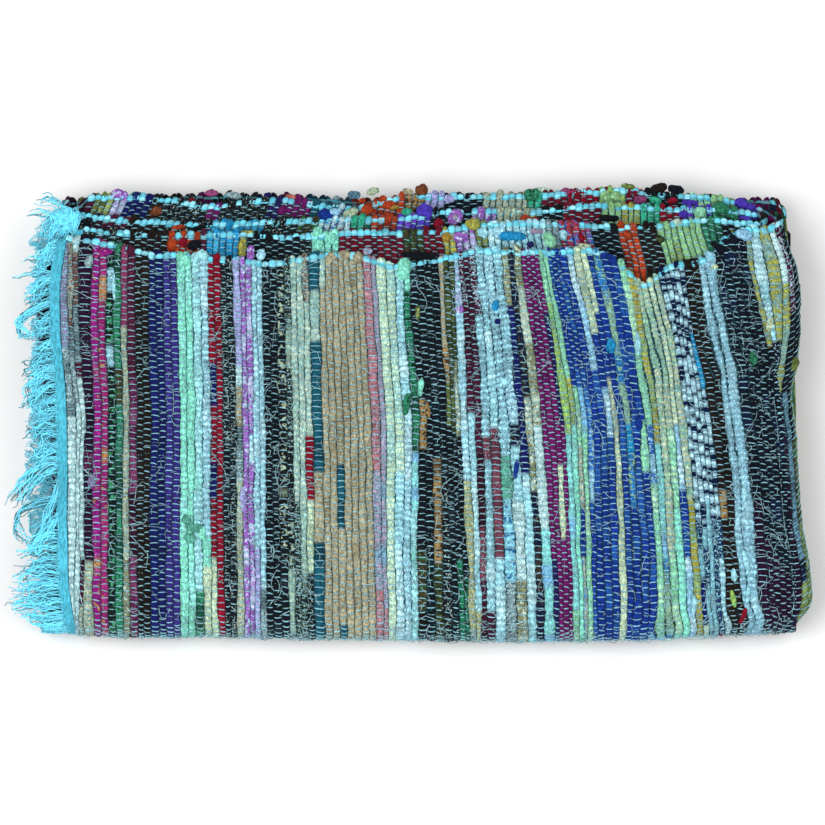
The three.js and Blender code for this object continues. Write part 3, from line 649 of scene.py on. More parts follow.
class Shape:
    """Vertices with their faces and looks, gathered before they become one mesh."""

    def __init__(self):
        self.points = []
        self.faces = []
        self.looks = {look: [] for look in LOOK_KINDS}
        self.count = 0

    def add(self, course, flat, faces, tint, second=None, prints=None):
        """Take flat points with their faces. The colours are one for each point, or spread over them."""
        size = flat.reshape(-1, 3).shape[0]
        self.points.append(course.fold(flat).reshape(-1, 3))
        for group in faces:
            self.faces.append(group + self.count)
        values = {
            "rag_tint": tint,
            "rag_second": tint if second is None else second,
            "rag_print": np.zeros(3) if prints is None else prints,
            "cloth_place": flat * MM,
        }
        for name, value in values.items():
            self.looks[name].append(np.broadcast_to(value, flat.shape).reshape(size, 3))
        self.count += size

    def piece(self, name, material, node_name):
        """Make the mesh object, with its place in its mesh. It rides on the rug's one body and stands for
        a CAD node, which it hides."""
        mesh = bpy.data.meshes.new(name)
        points = np.concatenate(self.points)
        corners = np.concatenate([group.ravel() for group in self.faces])
        sizes = np.concatenate([np.full(group.shape[0], group.shape[1]) for group in self.faces])
        mesh.vertices.add(len(points))
        mesh.vertices.foreach_set("co", points.astype(np.float32).ravel())
        mesh.loops.add(len(corners))
        mesh.loops.foreach_set("vertex_index", corners.astype(np.int32))
        mesh.polygons.add(len(sizes))
        mesh.polygons.foreach_set("loop_start", (np.cumsum(sizes) - sizes).astype(np.int32))
        mesh.polygons.foreach_set("use_smooth", np.ones(len(sizes), bool))
        for look, parts in self.looks.items():
            kind, field = LOOK_KINDS[look]
            values = np.concatenate(parts)
            if field == "color":
                values = np.concatenate([values, np.ones((len(values), 1))], axis=1)
            attribute = mesh.attributes.new(look, kind, "POINT")
            attribute.data.foreach_set(field, values.astype(np.float32).ravel())
        mesh.update(calc_edges=True)
        if mesh.validate():
            raise RuntimeError(f"{name} has faulty faces")
        mesh.materials.append(bpy.data.materials.get(material) or MATERIALS[material]())
        piece = bpy.data.objects.new(name, mesh)
        bpy.context.scene.collection.objects.link(piece)
        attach(piece, "root")
        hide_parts(node_name)


def tubes(path, wide, high, angles):
    """Tubes round n paths of m points. Each ring is its path point, plus wide times the cosine of each
    angle sideways, plus high times its sine upwards, square to the path. Flat discs close the ends."""
    along = np.gradient(path, axis=1)
    along = along / np.maximum(np.linalg.norm(along, axis=-1, keepdims=True), 1e-9)
    up = np.array([0.0, 0.0, 1.0]) - along * along[..., 2:3]
    steep = np.linalg.norm(up, axis=-1, keepdims=True) < 0.15
    up = np.where(steep, np.cross(along, np.array([0.0, 1.0, 0.0])), up)
    up = up / np.linalg.norm(up, axis=-1, keepdims=True)
    side = np.cross(up, along)
    angles = np.radians(angles)
    wide = np.broadcast_to(wide, path.shape[:2])[..., None] if np.ndim(wide) < 3 else wide
    high = np.broadcast_to(high, path.shape[:2])[..., None] if np.ndim(high) < 3 else high
    ring = path[:, :, None, :] + (wide * np.cos(angles))[..., None] * side[:, :, None, :]
    ring = ring + (high * np.sin(angles))[..., None] * up[:, :, None, :]
    return ring, tube_faces(*ring.shape[:3])


def tube_faces(count, rings, sides):
    """Faces of count tubes: quads between rings, and a disc at each end that looks outwards."""
    number = np.arange(count * rings * sides).reshape(count, rings, sides)
    after = np.roll(number, -1, axis=2)
    quads = np.stack([number[:, :-1], after[:, :-1], after[:, 1:], number[:, 1:]], axis=-1)
    return [quads.reshape(-1, 4), number[:, 0, ::-1].copy(), number[:, -1].copy()]


# The cool daylight of the photograph, as shares of red, green and blue.
DAYLIGHT = np.array([0.68, 0.95, 1.07])
CLOTH_BASE, CLOTH_SECOND = [
    np.array([linear(facts[column]) * DAYLIGHT for facts in CLOTHS.values()]) for column in (0, 1)]
# How far each kind of print lets the blots, the specks and the woven check through.
PRINTS = {
    "plain": (0.0, 0.0, 0.0),
    "blot": (1.0, 0.0, 0.0),
    "dots": (0.88, 0.0, 0.0),
    "speck": (0.0, 1.0, 0.0),
    "flecks": (0.0, 0.9, 0.0),
    "check": (0.0, 0.0, 1.0),
}
CLOTH_PRINT = np.array([PRINTS[facts[2]] for facts in CLOTHS.values()])
CLOTH_MIX, CLOTH_FRAY = [np.array([facts[column] for facts in CLOTHS.values()]) for column in (3, 4)]
CLOTH_NAMES = list(CLOTHS)


def cloth_numbers(names):
    """The places in the cloth tables of these names."""
    return np.array([CLOTH_NAMES.index(name) for name in names])


def with_ends(values):
    """Rows of values with the first and the last each given three times more, for the curled ends."""
    return np.concatenate([values[:, :1]] * 3 + [values] + [values[:, -1:]] * 3, axis=1)


# How far an edge between two rags wavers, as shares of their width, and the warps between two bends.
RAG_WAVER = ((0.15, 9), (0.08, 3))
# The sizes of the three rings that curl round at a rag's end, as shares of its own.
RAG_CURL = np.array([0.8, 0.95, 0.9])
END_BULGE = 0.9


class Rags:
    """The rags of one course: where each lies at every ring, its size and its cloth."""

    def __init__(self, name, widths, warps, seed, lines=None):
        """The rags share the course's length in proportion to their widths, or between the lines that
        are given. Each edge between two rags then wavers by a little, by two drifts of its own."""
        self.course = COURSES[name]
        self.warps = warps
        self.rng = np.random.default_rng(seed)
        count, rings = len(widths), len(warps)
        widths = np.array(widths, float)
        total = np.concatenate([[0.0], np.cumsum(widths)])
        bounds = np.repeat(total[:, None] / total[-1] * self.course.length, rings, axis=1)
        if lines is not None:
            bounds = self.between_lines(bounds, total, lines)
        waver = np.zeros_like(bounds)
        mean = 0.5 * (widths[1:] + widths[:-1])[:, None]
        for share, step in RAG_WAVER:
            waver[1:-1] += mean * share * drift(self.rng, count - 1, rings, step)
        bounds = bounds + waver
        self.middle = 0.5 * (bounds[1:] + bounds[:-1])
        self.half = 0.5 * (bounds[1:] - bounds[:-1])
        low, high = self.course.edges(self.middle)
        self.low, self.high = low[:, :1], high[:, -1:]
        self.across = lerp(low, high, warps[None, :] / WARP_COUNT)
        self.place = place_of(self.across, self.course.depth_at(self.middle))
        rows = np.arange(count)[:, None]
        self.over = (rows + warps[None, :]) % 2 == 0
        self.cloth = None

    def between_lines(self, bounds, total, lines):
        """Rag edges read from the lines: along at each line by its place, shared out between two lines
        by width, and turned into a part of the layer's length at that place."""
        low, high = self.course.edges(bounds)
        across = lerp(low, high, self.warps[None, :] / WARP_COUNT)
        place = place_of(across, self.course.depth)
        left = fold_line(self.course.left, place)
        right = fold_line(self.course.right, place) - self.course.inset
        known = [left]
        for line in lines:
            pixel = eased(place, LINE_PLACES, line[1:], 25.0)
            known.append((pixel - PHOTO_MIDDLE) * PHOTO_SCALE)
        known = np.stack(known + [right])
        keys = np.concatenate([[0.0], total[lines[:, 0].astype(int)], total[-1:]])
        which = np.clip(np.searchsorted(keys, total, side="right") - 1, 0, len(keys) - 2)
        part = ((total - keys[which]) / (keys[which + 1] - keys[which]))[:, None]
        rows = np.arange(len(total))
        along = lerp(known[which, rows], known[which + 1, rows], part)
        return (along - left) / (right - left) * self.course.length

    def wear_chart(self, chart):
        """Give each rag its cloths by place, as the top layer's chart lists them."""
        self.cloth = np.zeros(self.middle.shape, int)
        for row, facts in enumerate(chart):
            joins = np.array(facts[2::2], float)
            self.cloth[row] = cloth_numbers(facts[1::2])[np.searchsorted(joins, self.place[row])]

    def wear_names(self, names):
        """Give each rag the cloth at its place in a list."""
        self.cloth = np.repeat(cloth_numbers(names)[:, None], self.middle.shape[1], axis=1)

    def wear_pixels(self, chart):
        """Give each rag one cloth by the photograph's pixel that its back end shows at."""
        ends = np.array([self.middle[:, -1], self.high[:, 0], 0.0 * self.high[:, 0]]).T
        pixel = (self.course.fold(ends)[:, 0] / MM) / PHOTO_SCALE + PHOTO_MIDDLE
        which = np.searchsorted([limit for limit, name in chart], pixel)
        self.wear_names([chart[number][1] for number in which])

    def colours(self):
        """Ground, second colour and print of each ring. The second colour comes in patches along the
        rag. The ground is lighter or darker at random by a slow drift and a little from ring to ring.
        Painted shade darkens it in the pinches under the warp and a painted highlight lightens the puffs
        between them, both more so in torn cloth."""
        count, rings = self.middle.shape
        patch = 0.5 + 0.5 * drift(self.rng, count, rings, 7)
        mixed = smoothstep(patch, 1.0 - CLOTH_MIX[self.cloth], 1.12 - CLOTH_MIX[self.cloth])
        rows = np.arange(count)[:, None]
        squares = (self.rng.random((count, rings)) < 0.25) ^ ((np.arange(rings)[None, :] + rows) % 4 < 2)
        squares = squares * CLOTH_PRINT[self.cloth, 2]
        mixed = np.maximum(0.8 * mixed, squares)
        base = lerp(CLOTH_BASE[self.cloth], CLOTH_SECOND[self.cloth], mixed[..., None])
        light = 1.0 + 0.16 * drift(self.rng, count, rings, 12) + self.rng.uniform(-0.12, 0.12, (count, rings))
        torn = CLOTH_FRAY[self.cloth]
        # Painted shade in the pinches where the warp passes over, and a painted highlight on the puffs.
        light = light * np.where(self.over, 1.0 - 0.45 * torn ** 2, 1.04 + 0.14 * torn)
        return base * light[..., None], CLOTH_SECOND[self.cloth], CLOTH_PRINT[self.cloth]

    def curled_end(self, column, way, share):
        """Three path points of a quarter turn at one end of each rag, towards the neighbour on its left
        or right in turn: the half width times one less the cosine, and times a share of the sine."""
        angle = np.radians([30.0, 60.0, 90.0])[::int(way)]
        half = self.half[:, column, None]
        sway = np.where(np.arange(len(half))[:, None] % 2 == 0, way, -way)
        return np.stack([
            self.middle[:, column, None] + sway * half * (1.0 - np.cos(angle)),
            self.across[:, column, None] + way * (half * share) * np.sin(angle),
            np.zeros((len(half), 3)),
        ], axis=-1)

    def bodies(self, height, tight):
        """Paths and ring sizes of the rags. Where the warp passes over, the rag is pinched, and where it
        passes under, the rag puffs up, and more so in loose torn cloth. Both ends curl round towards
        their neighbours."""
        count, rings = self.middle.shape
        torn = CLOTH_FRAY[self.cloth]
        lumps = (0.07 + 0.16 * torn) * drift(self.rng, count, rings, 3)
        full = height * (1.0 + lumps + 0.06 * either(self.rng, count, 1))
        tight = tight + 0.06 - 0.14 * torn + 0.10 * torn * either(self.rng, count, rings)
        outer = full * np.where(self.over, tight, 1.06)
        inner = full * np.where(self.over, 1.02, tight)
        wide = self.half * np.where(self.over, 0.99 - 0.09 * torn, 1.08 + 0.09 * torn) * (1.0 + 0.6 * lumps)
        edge = np.minimum(self.across - self.low, self.high - self.across)
        held = lerp(0.72, 1.0, smoothstep(edge, 5.0, 9.0))
        path = np.stack([self.middle, self.across, np.zeros_like(self.middle)], axis=-1)
        start = self.curled_end(0, -1.0, self.rng.uniform(0.25, 0.75, (count, 1)))
        finish = self.curled_end(-1, 1.0, self.rng.uniform(0.0, 0.45, (count, 1)) ** 1.5)
        path = np.concatenate([start, path, finish], axis=1)
        bulge = RAG_CURL[::-1] * END_BULGE
        wide, outer, inner = [
            np.concatenate([ends[:, :1] * RAG_CURL, rings_between, ends[:, -1:] * bulge], axis=1)
            for ends, rings_between in ((wide, wide), (full, outer * held), (full, inner * held))]
        self.outer = outer[:, 3:-3]
        return path, wide, outer, inner

    def add_to(self, shape, height, tight, angles, rows):
        """Add the rags in rows, a slice, to a shape. The shoulders are a little fuller than an ellipse,
        each vertex is crumpled by a random share, and painted shade darkens the flanks down in the gaps."""
        path, wide, outer, inner = self.bodies(height, tight)
        turn = np.radians(angles)
        torn = with_ends(CLOTH_FRAY[self.cloth])[..., None]
        crumple = either(self.rng, *torn.shape[:2], *turn.shape) * (0.05 + 0.15 * torn)
        full = 1.0 + 0.10 * np.sin(2.0 * turn) ** 2 + crumple
        high = np.where(np.sin(turn) > 0.0, outer[..., None], inner[..., None]) * full
        ring, faces = tubes(path[rows], (wide[..., None] * full)[rows], high[rows], angles)
        tint, second, prints = [with_ends(look)[rows][:, :, None, :] for look in self.looks_now]
        # Painted shade: the lower flanks of each rag, down in the gaps, are darkened by the angle round it.
        shade = lerp(0.42, 1.0, smoothstep(np.sin(turn), -0.3, 0.6))[:, None]
        tint, second = tint * shade, second * shade
        shape.add(self.course, ring, faces, tint, second, prints)


def warp_rows(fine_from, coarse_step):
    """Warp numbers with a ring: every coarse_step up to fine_from, then every one to the last."""
    coarse = np.arange(0, fine_from, coarse_step)
    return np.concatenate([coarse, np.arange(fine_from, WARP_COUNT + 1)]).astype(float)


def make_rags():
    """The rags of all seven courses. The top layer and its turn have a ring at each warp from the front
    fold on, and the layers below only near the back, where they show."""
    layer = [7.1] * 104
    top, turn = [[row[0] for row in chart] for chart in (TOP_CHART, RIGHT_TURN_CHART)]
    plan = {
        "top": (top, 120, 6, Rags.wear_chart, TOP_CHART),
        "second": (layer, 236, 16, Rags.wear_pixels, SECOND_CHART),
        "third": (layer, 248, 16, Rags.wear_pixels, THIRD_CHART),
        "fourth": (layer, 250, 16, Rags.wear_pixels, FOURTH_CHART),
        "outer_turn": (turn, 120, 6, Rags.wear_chart, RIGHT_TURN_CHART),
        "left_turn": ([7.0] * 3, 120, 6, Rags.wear_names, LEFT_TURN_CHART),
        "inner_turn": ([7.0] * 2, 236, 16, Rags.wear_names, INNER_TURN_CHART),
    }
    all_rags = {}
    for number, (name, (widths, fine_from, step, wear, chart)) in enumerate(plan.items()):
        lines = RAG_LINES if name == "top" else None
        rags = Rags(name, widths, warp_rows(fine_from, step), FIRST_RAG_SEED + number, lines)
        wear(rags, chart)
        rags.looks_now = rags.colours()
        all_rags[name] = rags
    return all_rags


RAGS = make_rags()
# Angles of the vertices round a rag that shows, round a rag of the lower layers, a cord and a yarn.
FINE_SIDES = (0.0, 45.0, 90.0, 135.0, 180.0, 270.0)
PLAIN_SIDES = (0.0, 55.0, 125.0, 180.0, 235.0, 305.0)
CORD_SIDES = (18.0, 90.0, 162.0, 234.0, 306.0)
YARN_SIDES = (90.0, 210.0, 330.0)
# Which rags of the top layer are in each of its two pieces.
TOP_PIECES = {"rags_top_start": slice(0, 52), "rags_top_middle": slice(52, None)}


def node(tree, kind, settings=None, links=None):
    """Add a shader node of a kind. A setting goes to the node. A link is a value or a node's socket."""
    made = tree.nodes.new("ShaderNode" + kind)
    for name, value in (settings or {}).items():
        setattr(made, name, value)
    for name, value in (links or {}).items():
        if isinstance(value, bpy.types.NodeSocket):
            tree.links.new(value, made.inputs[name])
        else:
            made.inputs[name].default_value = value
    return made


def new_material(name):
    """An empty node material with its output, its shader and its tree."""
    material = bpy.data.materials.new(name)
    material.use_nodes = True
    tree = material.node_tree
    tree.nodes.clear()
    shader = node(tree, "BsdfPrincipled")
    node(tree, "OutputMaterial", None, {"Surface": shader.outputs[0]})
    return material, tree, shader


def mask(tree, vector, size, low, high, let_through):
    """Noise with cells of size millimetres, cut to a mask between low and high. Where the cloth lets
    less of the print through, the noise is lowered, so that fewer and smaller spots are left."""
    noise = node(tree, "TexNoise", None, {"Vector": vector, "Scale": 1.0 / (size * MM), "Detail": 1.5})
    lowered = node(tree, "Math", {"operation": "MULTIPLY_ADD"}, {0: let_through, 1: 0.7, 2: -0.7})
    value = node(tree, "Math", {"operation": "ADD"}, {0: noise.outputs["Fac"], 1: lowered.outputs[0]})
    limits = {"Value": value.outputs[0], "From Min": low, "From Max": high}
    return node(tree, "MapRange", None, limits).outputs["Result"]


def finish_cotton(tree, shader, colour, shade, relief, strength, depth, roughness, gloss, sheen):
    """Join the colour times its shade and the bump of the relief to the shader, and set its finish."""
    shaded = node(tree, "VectorMath", {"operation": "SCALE"}, {0: colour, "Scale": shade})
    tree.links.new(shaded.outputs[0], shader.inputs["Base Color"])
    bump = node(tree, "Bump", None, {"Height": relief, "Strength": strength, "Distance": depth})
    tree.links.new(bump.outputs[0], shader.inputs["Normal"])
    shader.inputs["Roughness"].default_value = roughness
    shader.inputs["Specular IOR Level"].default_value = gloss
    shader.inputs["Sheen Weight"].default_value = sheen


def rag_cotton():
    """Torn cotton cloth, dyed or printed and bunched up in the weave. The eye gets matt strips with
    creases along them, sunk in the bump and darkened by painted shade, blots of 5 mm or specks of
    2 mm, and tone that is lighter or darker at random."""
    material, tree, shader = new_material("torn_cotton_rag")
    place = node(tree, "Attribute", {"attribute_name": "cloth_place"}).outputs["Vector"]
    tint = node(tree, "Attribute", {"attribute_name": "rag_tint"}).outputs["Color"]
    second = node(tree, "Attribute", {"attribute_name": "rag_second"}).outputs["Color"]
    prints = node(tree, "Attribute", {"attribute_name": "rag_print"}).outputs["Vector"]
    kinds = node(tree, "SeparateXYZ", None, {"Vector": prints})
    blots = mask(tree, place, 5.0, 0.55, 0.60, kinds.outputs["X"])
    specks = mask(tree, place, 2.1, 0.54, 0.62, kinds.outputs["Y"])
    shown = node(tree, "Math", {"operation": "MAXIMUM"}, {0: blots, 1: specks}).outputs[0]
    printed = node(tree, "Mix", {"data_type": "RGBA"}, {0: shown, 6: tint, 7: second})
    long_way = node(tree, "VectorMath", {"operation": "MULTIPLY"}, {0: place, 1: (1.0, 0.4, 1.0)})
    creases = node(tree, "TexNoise", None, {
        "Vector": long_way.outputs[0], "Scale": 1.0 / (2.6 * MM), "Detail": 2.5, "Roughness": 0.6})
    # Painted shade: thin dark lines where the crease noise is near its middle, which also sink the bump.
    centred = node(tree, "Math", {"operation": "SUBTRACT"}, {0: creases.outputs["Fac"], 1: 0.5})
    ridge = node(tree, "Math", {"operation": "ABSOLUTE"}, {0: centred.outputs[0]})
    fold = node(tree, "MapRange", None, {
        "Value": ridge.outputs[0], "From Min": 0.0, "From Max": 0.07, "To Min": 0.5, "To Max": 1.0})
    # Tone lighter or darker at random, in noise cells of 3.3 mm.
    patchy = node(tree, "TexNoise", None, {
        "Vector": place, "Scale": 1.0 / (3.3 * MM), "Detail": 3.0, "Roughness": 0.7})
    tone = node(tree, "MapRange", None, {
        "Value": patchy.outputs["Fac"], "From Min": 0.3, "From Max": 0.7, "To Min": 0.6, "To Max": 1.24})
    crease_shade_bump = fold.outputs["Result"]
    shade = node(tree, "Math", {"operation": "MULTIPLY"}, {0: crease_shade_bump, 1: tone.outputs["Result"]})
    finish_cotton(tree, shader, printed.outputs[2], shade.outputs[0], crease_shade_bump, 0.8, 0.0012, 0.95, 0.08, 0.02)
    return material


def cyan_cotton(name, stretch, cell, detail, span, tones, strength, depth, roughness):
    """Cyan cotton yarn: fibres in noise cells of so many millimetres, drawn out along the weft, shade
    the tint between two tones and raise the bump."""
    material, tree, shader = new_material(name)
    place = node(tree, "Attribute", {"attribute_name": "cloth_place"}).outputs["Vector"]
    tint = node(tree, "Attribute", {"attribute_name": "rag_tint"}).outputs["Color"]
    long_way = node(tree, "VectorMath", {"operation": "MULTIPLY"}, {0: place, 1: (1.0, stretch, 1.0)})
    fibres = node(tree, "TexNoise", None, {
        "Vector": long_way.outputs[0], "Scale": 1.0 / (cell * MM), "Detail": 3.0, "Roughness": detail})
    shade = node(tree, "MapRange", None, {
        "Value": fibres.outputs["Fac"], "From Min": span[0], "From Max": span[1],
        "To Min": tones[0], "To Max": tones[1]})
    finish_cotton(tree, shader, tint, shade.outputs["Result"], fibres.outputs["Fac"], strength, depth,
                  roughness, 0.1, 0.05)
    return material


def warp_cotton():
    """Plied cotton yarn, dyed cyan. The eye gets a soft matt thread with fine darker twist marks."""
    return cyan_cotton("cyan_cotton_yarn", 1.0, 1.2, 0.5, (0.3, 0.7), (0.62, 1.22), 0.5, 0.0006, 0.9)


def heading_cotton():
    """Cotton yarn woven plain and beaten close. The eye gets a firm cyan band with fine lines along the
    weft, 1.5 mm to a line."""
    return cyan_cotton("plain_woven_cyan_cotton", 0.3, 1.5, 0.6, (0.32, 0.68), (0.5, 1.15), 0.9, 0.0012, 0.88)


def floor_paper():
    """Matt white paper under a soft light, which gives the eye a plain pale ground."""
    material, tree, shader = new_material("matt_white_paper")
    where = node(tree, "TexCoord").outputs["Object"]
    grain = node(tree, "TexNoise", None, {"Vector": where, "Scale": 3.0})
    tone = node(tree, "MapRange", None, {"Value": grain.outputs["Fac"], "To Min": 0.80, "To Max": 0.83})
    tree.links.new(tone.outputs["Result"], shader.inputs["Base Color"])
    shader.inputs["Roughness"].default_value = 0.95
    shader.inputs["Specular IOR Level"].default_value = 0.1
    return material


MATERIALS = {
    "torn_cotton_rag": rag_cotton,
    "cyan_cotton_yarn": warp_cotton,
    "plain_woven_cyan_cotton": heading_cotton,
}


class RugSizes(bpy.types.PropertyGroup):
    """Sizes that a weaver would choose."""

    rag_height: FloatProperty(
        name="Rag height", description="Half the thickness of a rag where it puffs up",
        default=0.0036, min=0.001, unit="LENGTH")
    rag_tightness: FloatProperty(
        name="Rag tightness", description="Share of its height that a rag keeps under a warp thread",
        default=0.78, min=0.3, max=1.0, subtype="FACTOR")
    float_radius: FloatProperty(
        name="Warp radius", description="Radius of the warp threads over the rags",
        default=0.00068, min=0.0002, unit="LENGTH")
    cord_radius: FloatProperty(
        name="Selvage cord radius", description="Radius of the doubled warp along each selvage",
        default=0.0021, min=0.0005, unit="LENGTH")
    yarn_radius: FloatProperty(
        name="Fringe yarn radius", description="Radius of a loose ply in the fringe",
        default=0.00062, min=0.0002, unit="LENGTH")
    ground_thickness: FloatProperty(
        name="Ground thickness", description="Thickness of the warp ground between the rags",
        default=0.0024, min=0.0005, unit="LENGTH")
    heading_thickness: FloatProperty(
        name="Heading thickness", description="Thickness of the woven heading",
        default=0.003, min=0.001, unit="LENGTH")
    thread_count: IntProperty(
        name="Loose threads", description="Number of frayed threads on the rags", default=3200, min=0)


class RugColours(bpy.types.PropertyGroup):
    """Colours of the dyed yarn, as linear values."""

    warp: FloatVectorProperty(
        name="Warp", description="Cyan of the warp over the rags", size=3, subtype="COLOR",
        default=tuple(linear("8ec6d6")))
    cord: FloatVectorProperty(
        name="Selvage cord", description="Cyan of the cords along the selvages", size=3, subtype="COLOR",
        default=tuple(linear("5fc2d8")))
    heading: FloatVectorProperty(
        name="Heading", description="Cyan of the woven headings", size=3, subtype="COLOR",
        default=tuple(linear("4fb8d2")))
    fringe: FloatVectorProperty(
        name="Fringe", description="Cyan of the loose fringe", size=3, subtype="COLOR",
        default=tuple(linear("70d2e8")))
    # Painted shade: the warp ground is dark teal, not the warp's cyan, to stand for the shadow in the gaps.
    ground: FloatVectorProperty(
        name="Ground", description="Shaded warp between the rags", size=3, subtype="COLOR",
        default=tuple(linear("1c3c44")))


def make_sheet(shape, sections, thickness, rows, tint):
    """A closed sheet through several courses: the face and the back stand half the thickness off the
    middle, and rims close all four edges. Each section is a course, its t values and the side that
    its face looks to."""
    faces, backs = [], []
    for course, steps, facing in sections:
        t = np.repeat(steps[:, None], len(rows), axis=1)
        low, high = course.edges(t)
        across = lerp(low + 1.0, high - 1.0, rows[None, :])
        lift = np.full_like(t, facing * thickness / 2.0)
        faces.append(course.fold(np.stack([t, across, lift], axis=-1)))
        backs.append(course.fold(np.stack([t, across, -lift], axis=-1)))
    points = np.stack([np.concatenate(faces), np.concatenate(backs)])
    columns, length = points.shape[1:3]
    number = np.arange(points[..., 0].size).reshape(2, columns, length)
    shape.points.append(points.reshape(-1, 3))
    shape.faces.extend([group + shape.count for group in sheet_faces(number)])
    shape.count += points[..., 0].size
    for name in ("rag_tint", "rag_second"):
        shape.looks[name].append(np.tile(tint, (points[..., 0].size, 1)))
    shape.looks["rag_print"].append(np.zeros((points[..., 0].size, 3)))
    shape.looks["cloth_place"].append(points.reshape(-1, 3))


def sheet_faces(number):
    """Quads of a closed sheet from its vertex numbers: face, back and the four rims between them."""
    face, back = number
    quads = [
        np.stack([face[:-1, :-1], face[1:, :-1], face[1:, 1:], face[:-1, 1:]], axis=-1),
        np.stack([back[:-1, :-1], back[:-1, 1:], back[1:, 1:], back[1:, :-1]], axis=-1),
        np.stack([face[:-1, 0], back[:-1, 0], back[1:, 0], face[1:, 0]], axis=-1),
        np.stack([face[1:, -1], back[1:, -1], back[:-1, -1], face[:-1, -1]], axis=-1),
        np.stack([face[0, :-1], face[0, 1:], back[0, 1:], back[0, :-1]], axis=-1),
        np.stack([face[-1, 1:], face[-1, :-1], back[-1, :-1], back[-1, 1:]], axis=-1),
    ]
    return [group.reshape(-1, 4) for group in quads]


# Rows of the ground sheet in stretches across its width, closer at the front fold, and the courses that
# it runs through, each with the side that its face looks to and in which its rows are taken.
GROUND_ROWS = ((0.0, 0.44, 14), (0.45, 0.60, 14), (0.62, 1.0, 16))
GROUND_ROUTE = (("top", 1), ("outer_turn", 1), ("fourth", -1), ("left_turn", 1), ("third", 1),
                ("inner_turn", -1), ("second", -1))


class RUG_OT_ground(bpy.types.Operator):
    """Make the thin warp ground, one folded sheet that the rags are woven on, coloured dark as painted
    shade in the gaps between them
    """

    bl_idname = "rug.ground"
    bl_label = "Warp ground"

    def execute(self, context):
        sizes, colours = context.scene.rug_sizes, context.scene.rug_colours
        rows = np.concatenate([np.linspace(*stretch) for stretch in GROUND_ROWS])
        sections = []
        for name, facing in GROUND_ROUTE:
            course = COURSES[name]
            steps = np.linspace(0.0, LAYER_LENGTH, 27)
            if course.turn is not None:
                steps = np.linspace(0.0, 1.0, 9)[1:-1] * course.length
            sections.append((course, steps[::facing], facing))
        shape = Shape()
        # The ground's dark colour is painted shade in the gaps between the rags.
        make_sheet(shape, sections, sizes.ground_thickness / MM, rows, np.array(colours.ground))
        shape.piece("shaded_warp_ground", "cyan_cotton_yarn", "rug_field")
        return {"FINISHED"}


class RUG_OT_rags(bpy.types.Operator):
    """Make the rags of every layer and turn"""

    bl_idname = "rug.rags"
    bl_label = "Rags"

    def execute(self, context):
        sizes = context.scene.rug_sizes
        height, tight = sizes.rag_height / MM, sizes.rag_tightness
        for name, rows in TOP_PIECES.items():
            shape = Shape()
            RAGS["top"].rng = np.random.default_rng(SEEDS["rags"])
            RAGS["top"].add_to(shape, height, tight, FINE_SIDES, rows)
            shape.piece(name, "torn_cotton_rag", "rug_field")
        shape = Shape()
        for name in ("second", "third", "fourth", "inner_turn"):
            RAGS[name].add_to(shape, height, tight, PLAIN_SIDES, slice(None))
        for name in ("outer_turn", "left_turn"):
            RAGS[name].add_to(shape, height, tight, FINE_SIDES, slice(None))
        shape.piece("rags_lower_layers", "torn_cotton_rag", "rug_field")
        return {"FINISHED"}


def add_yarns(shape, course, path, size, tint):
    """Three-sided yarns of a tint along their paths, with a radius of size at each point."""
    ring, faces = tubes(path, size, size, YARN_SIDES)
    shape.add(course, ring, faces, tint)


def add_floats(shape, rags, lowest, radius, tint, rng):
    """Warp threads over the rags, one short arch wherever the warp passes over. The arch rises from
    beside the rag to just above its crown and goes down again, with four stations."""
    shown = rags.over & (rags.across >= lowest)
    shown[:, -1] = False
    which = np.nonzero(shown)
    middle, half = rags.middle[which][:, None], rags.half[which][:, None]
    crown = rags.outer[which][:, None]
    torn = CLOTH_FRAY[rags.cloth[which]][:, None]
    sunk = np.where(rng.random((len(middle), 1)) < 0.5 * torn, 0.9, 0.0)
    station = np.array([-0.98, -0.5, 0.5, 0.98])
    slant = rng.uniform(-0.9, 0.5, (len(middle), 1))
    path = np.stack([
        middle + half * station,
        rags.across[which][:, None] + slant * station,
        crown * np.array([0.3, 1.0, 1.0, 0.3]) + radius * np.array([0.0, 0.7, 0.7, 0.0]) - sunk,
    ], axis=-1)
    size = radius * rng.uniform(0.7, 1.2, (len(middle), 1)) * np.ones((1, 4))
    light = rng.uniform(0.75, 1.12, (len(middle), 1, 1, 1))
    add_yarns(shape, rags.course, path, size, tint * light)


# How far across the warp over the rags starts on each course, piece by piece: below it nothing shows.
FLOATS_FROM = {
    "warp_over_top": {"top": -70.0},
    "warp_over_lower": {
        "second": 380.0, "third": 385.0, "fourth": 385.0, "outer_turn": -70.0, "left_turn": -70.0},
}


class RUG_OT_warp(bpy.types.Operator):
    """Make the warp threads where they pass over the rags"""

    bl_idname = "rug.warp"
    bl_label = "Warp over the rags"

    def execute(self, context):
        sizes, colours = context.scene.rug_sizes, context.scene.rug_colours
        radius, tint = sizes.float_radius / MM, np.array(colours.warp)
        rng = np.random.default_rng(SEEDS["warp"])
        for piece, lowest_shown in FLOATS_FROM.items():
            shape = Shape()
            for name, lowest in lowest_shown.items():
                add_floats(shape, RAGS[name], lowest, radius, tint, rng)
            shape.piece(piece, "cyan_cotton_yarn", "rug_field")
        return {"FINISHED"}


# Phase, inset in millimetres and share of the radius of each strand along a selvage.
SEEN_STRANDS = ((0.0, 1.0, 1.0), (1.0, 1.8, 1.0), (0.0, 3.4, 0.8), (1.0, 2.9, 0.8))
HIDDEN_STRANDS = ((0.0, 1.4, 1.0), (1.0, 2.2, 1.0))


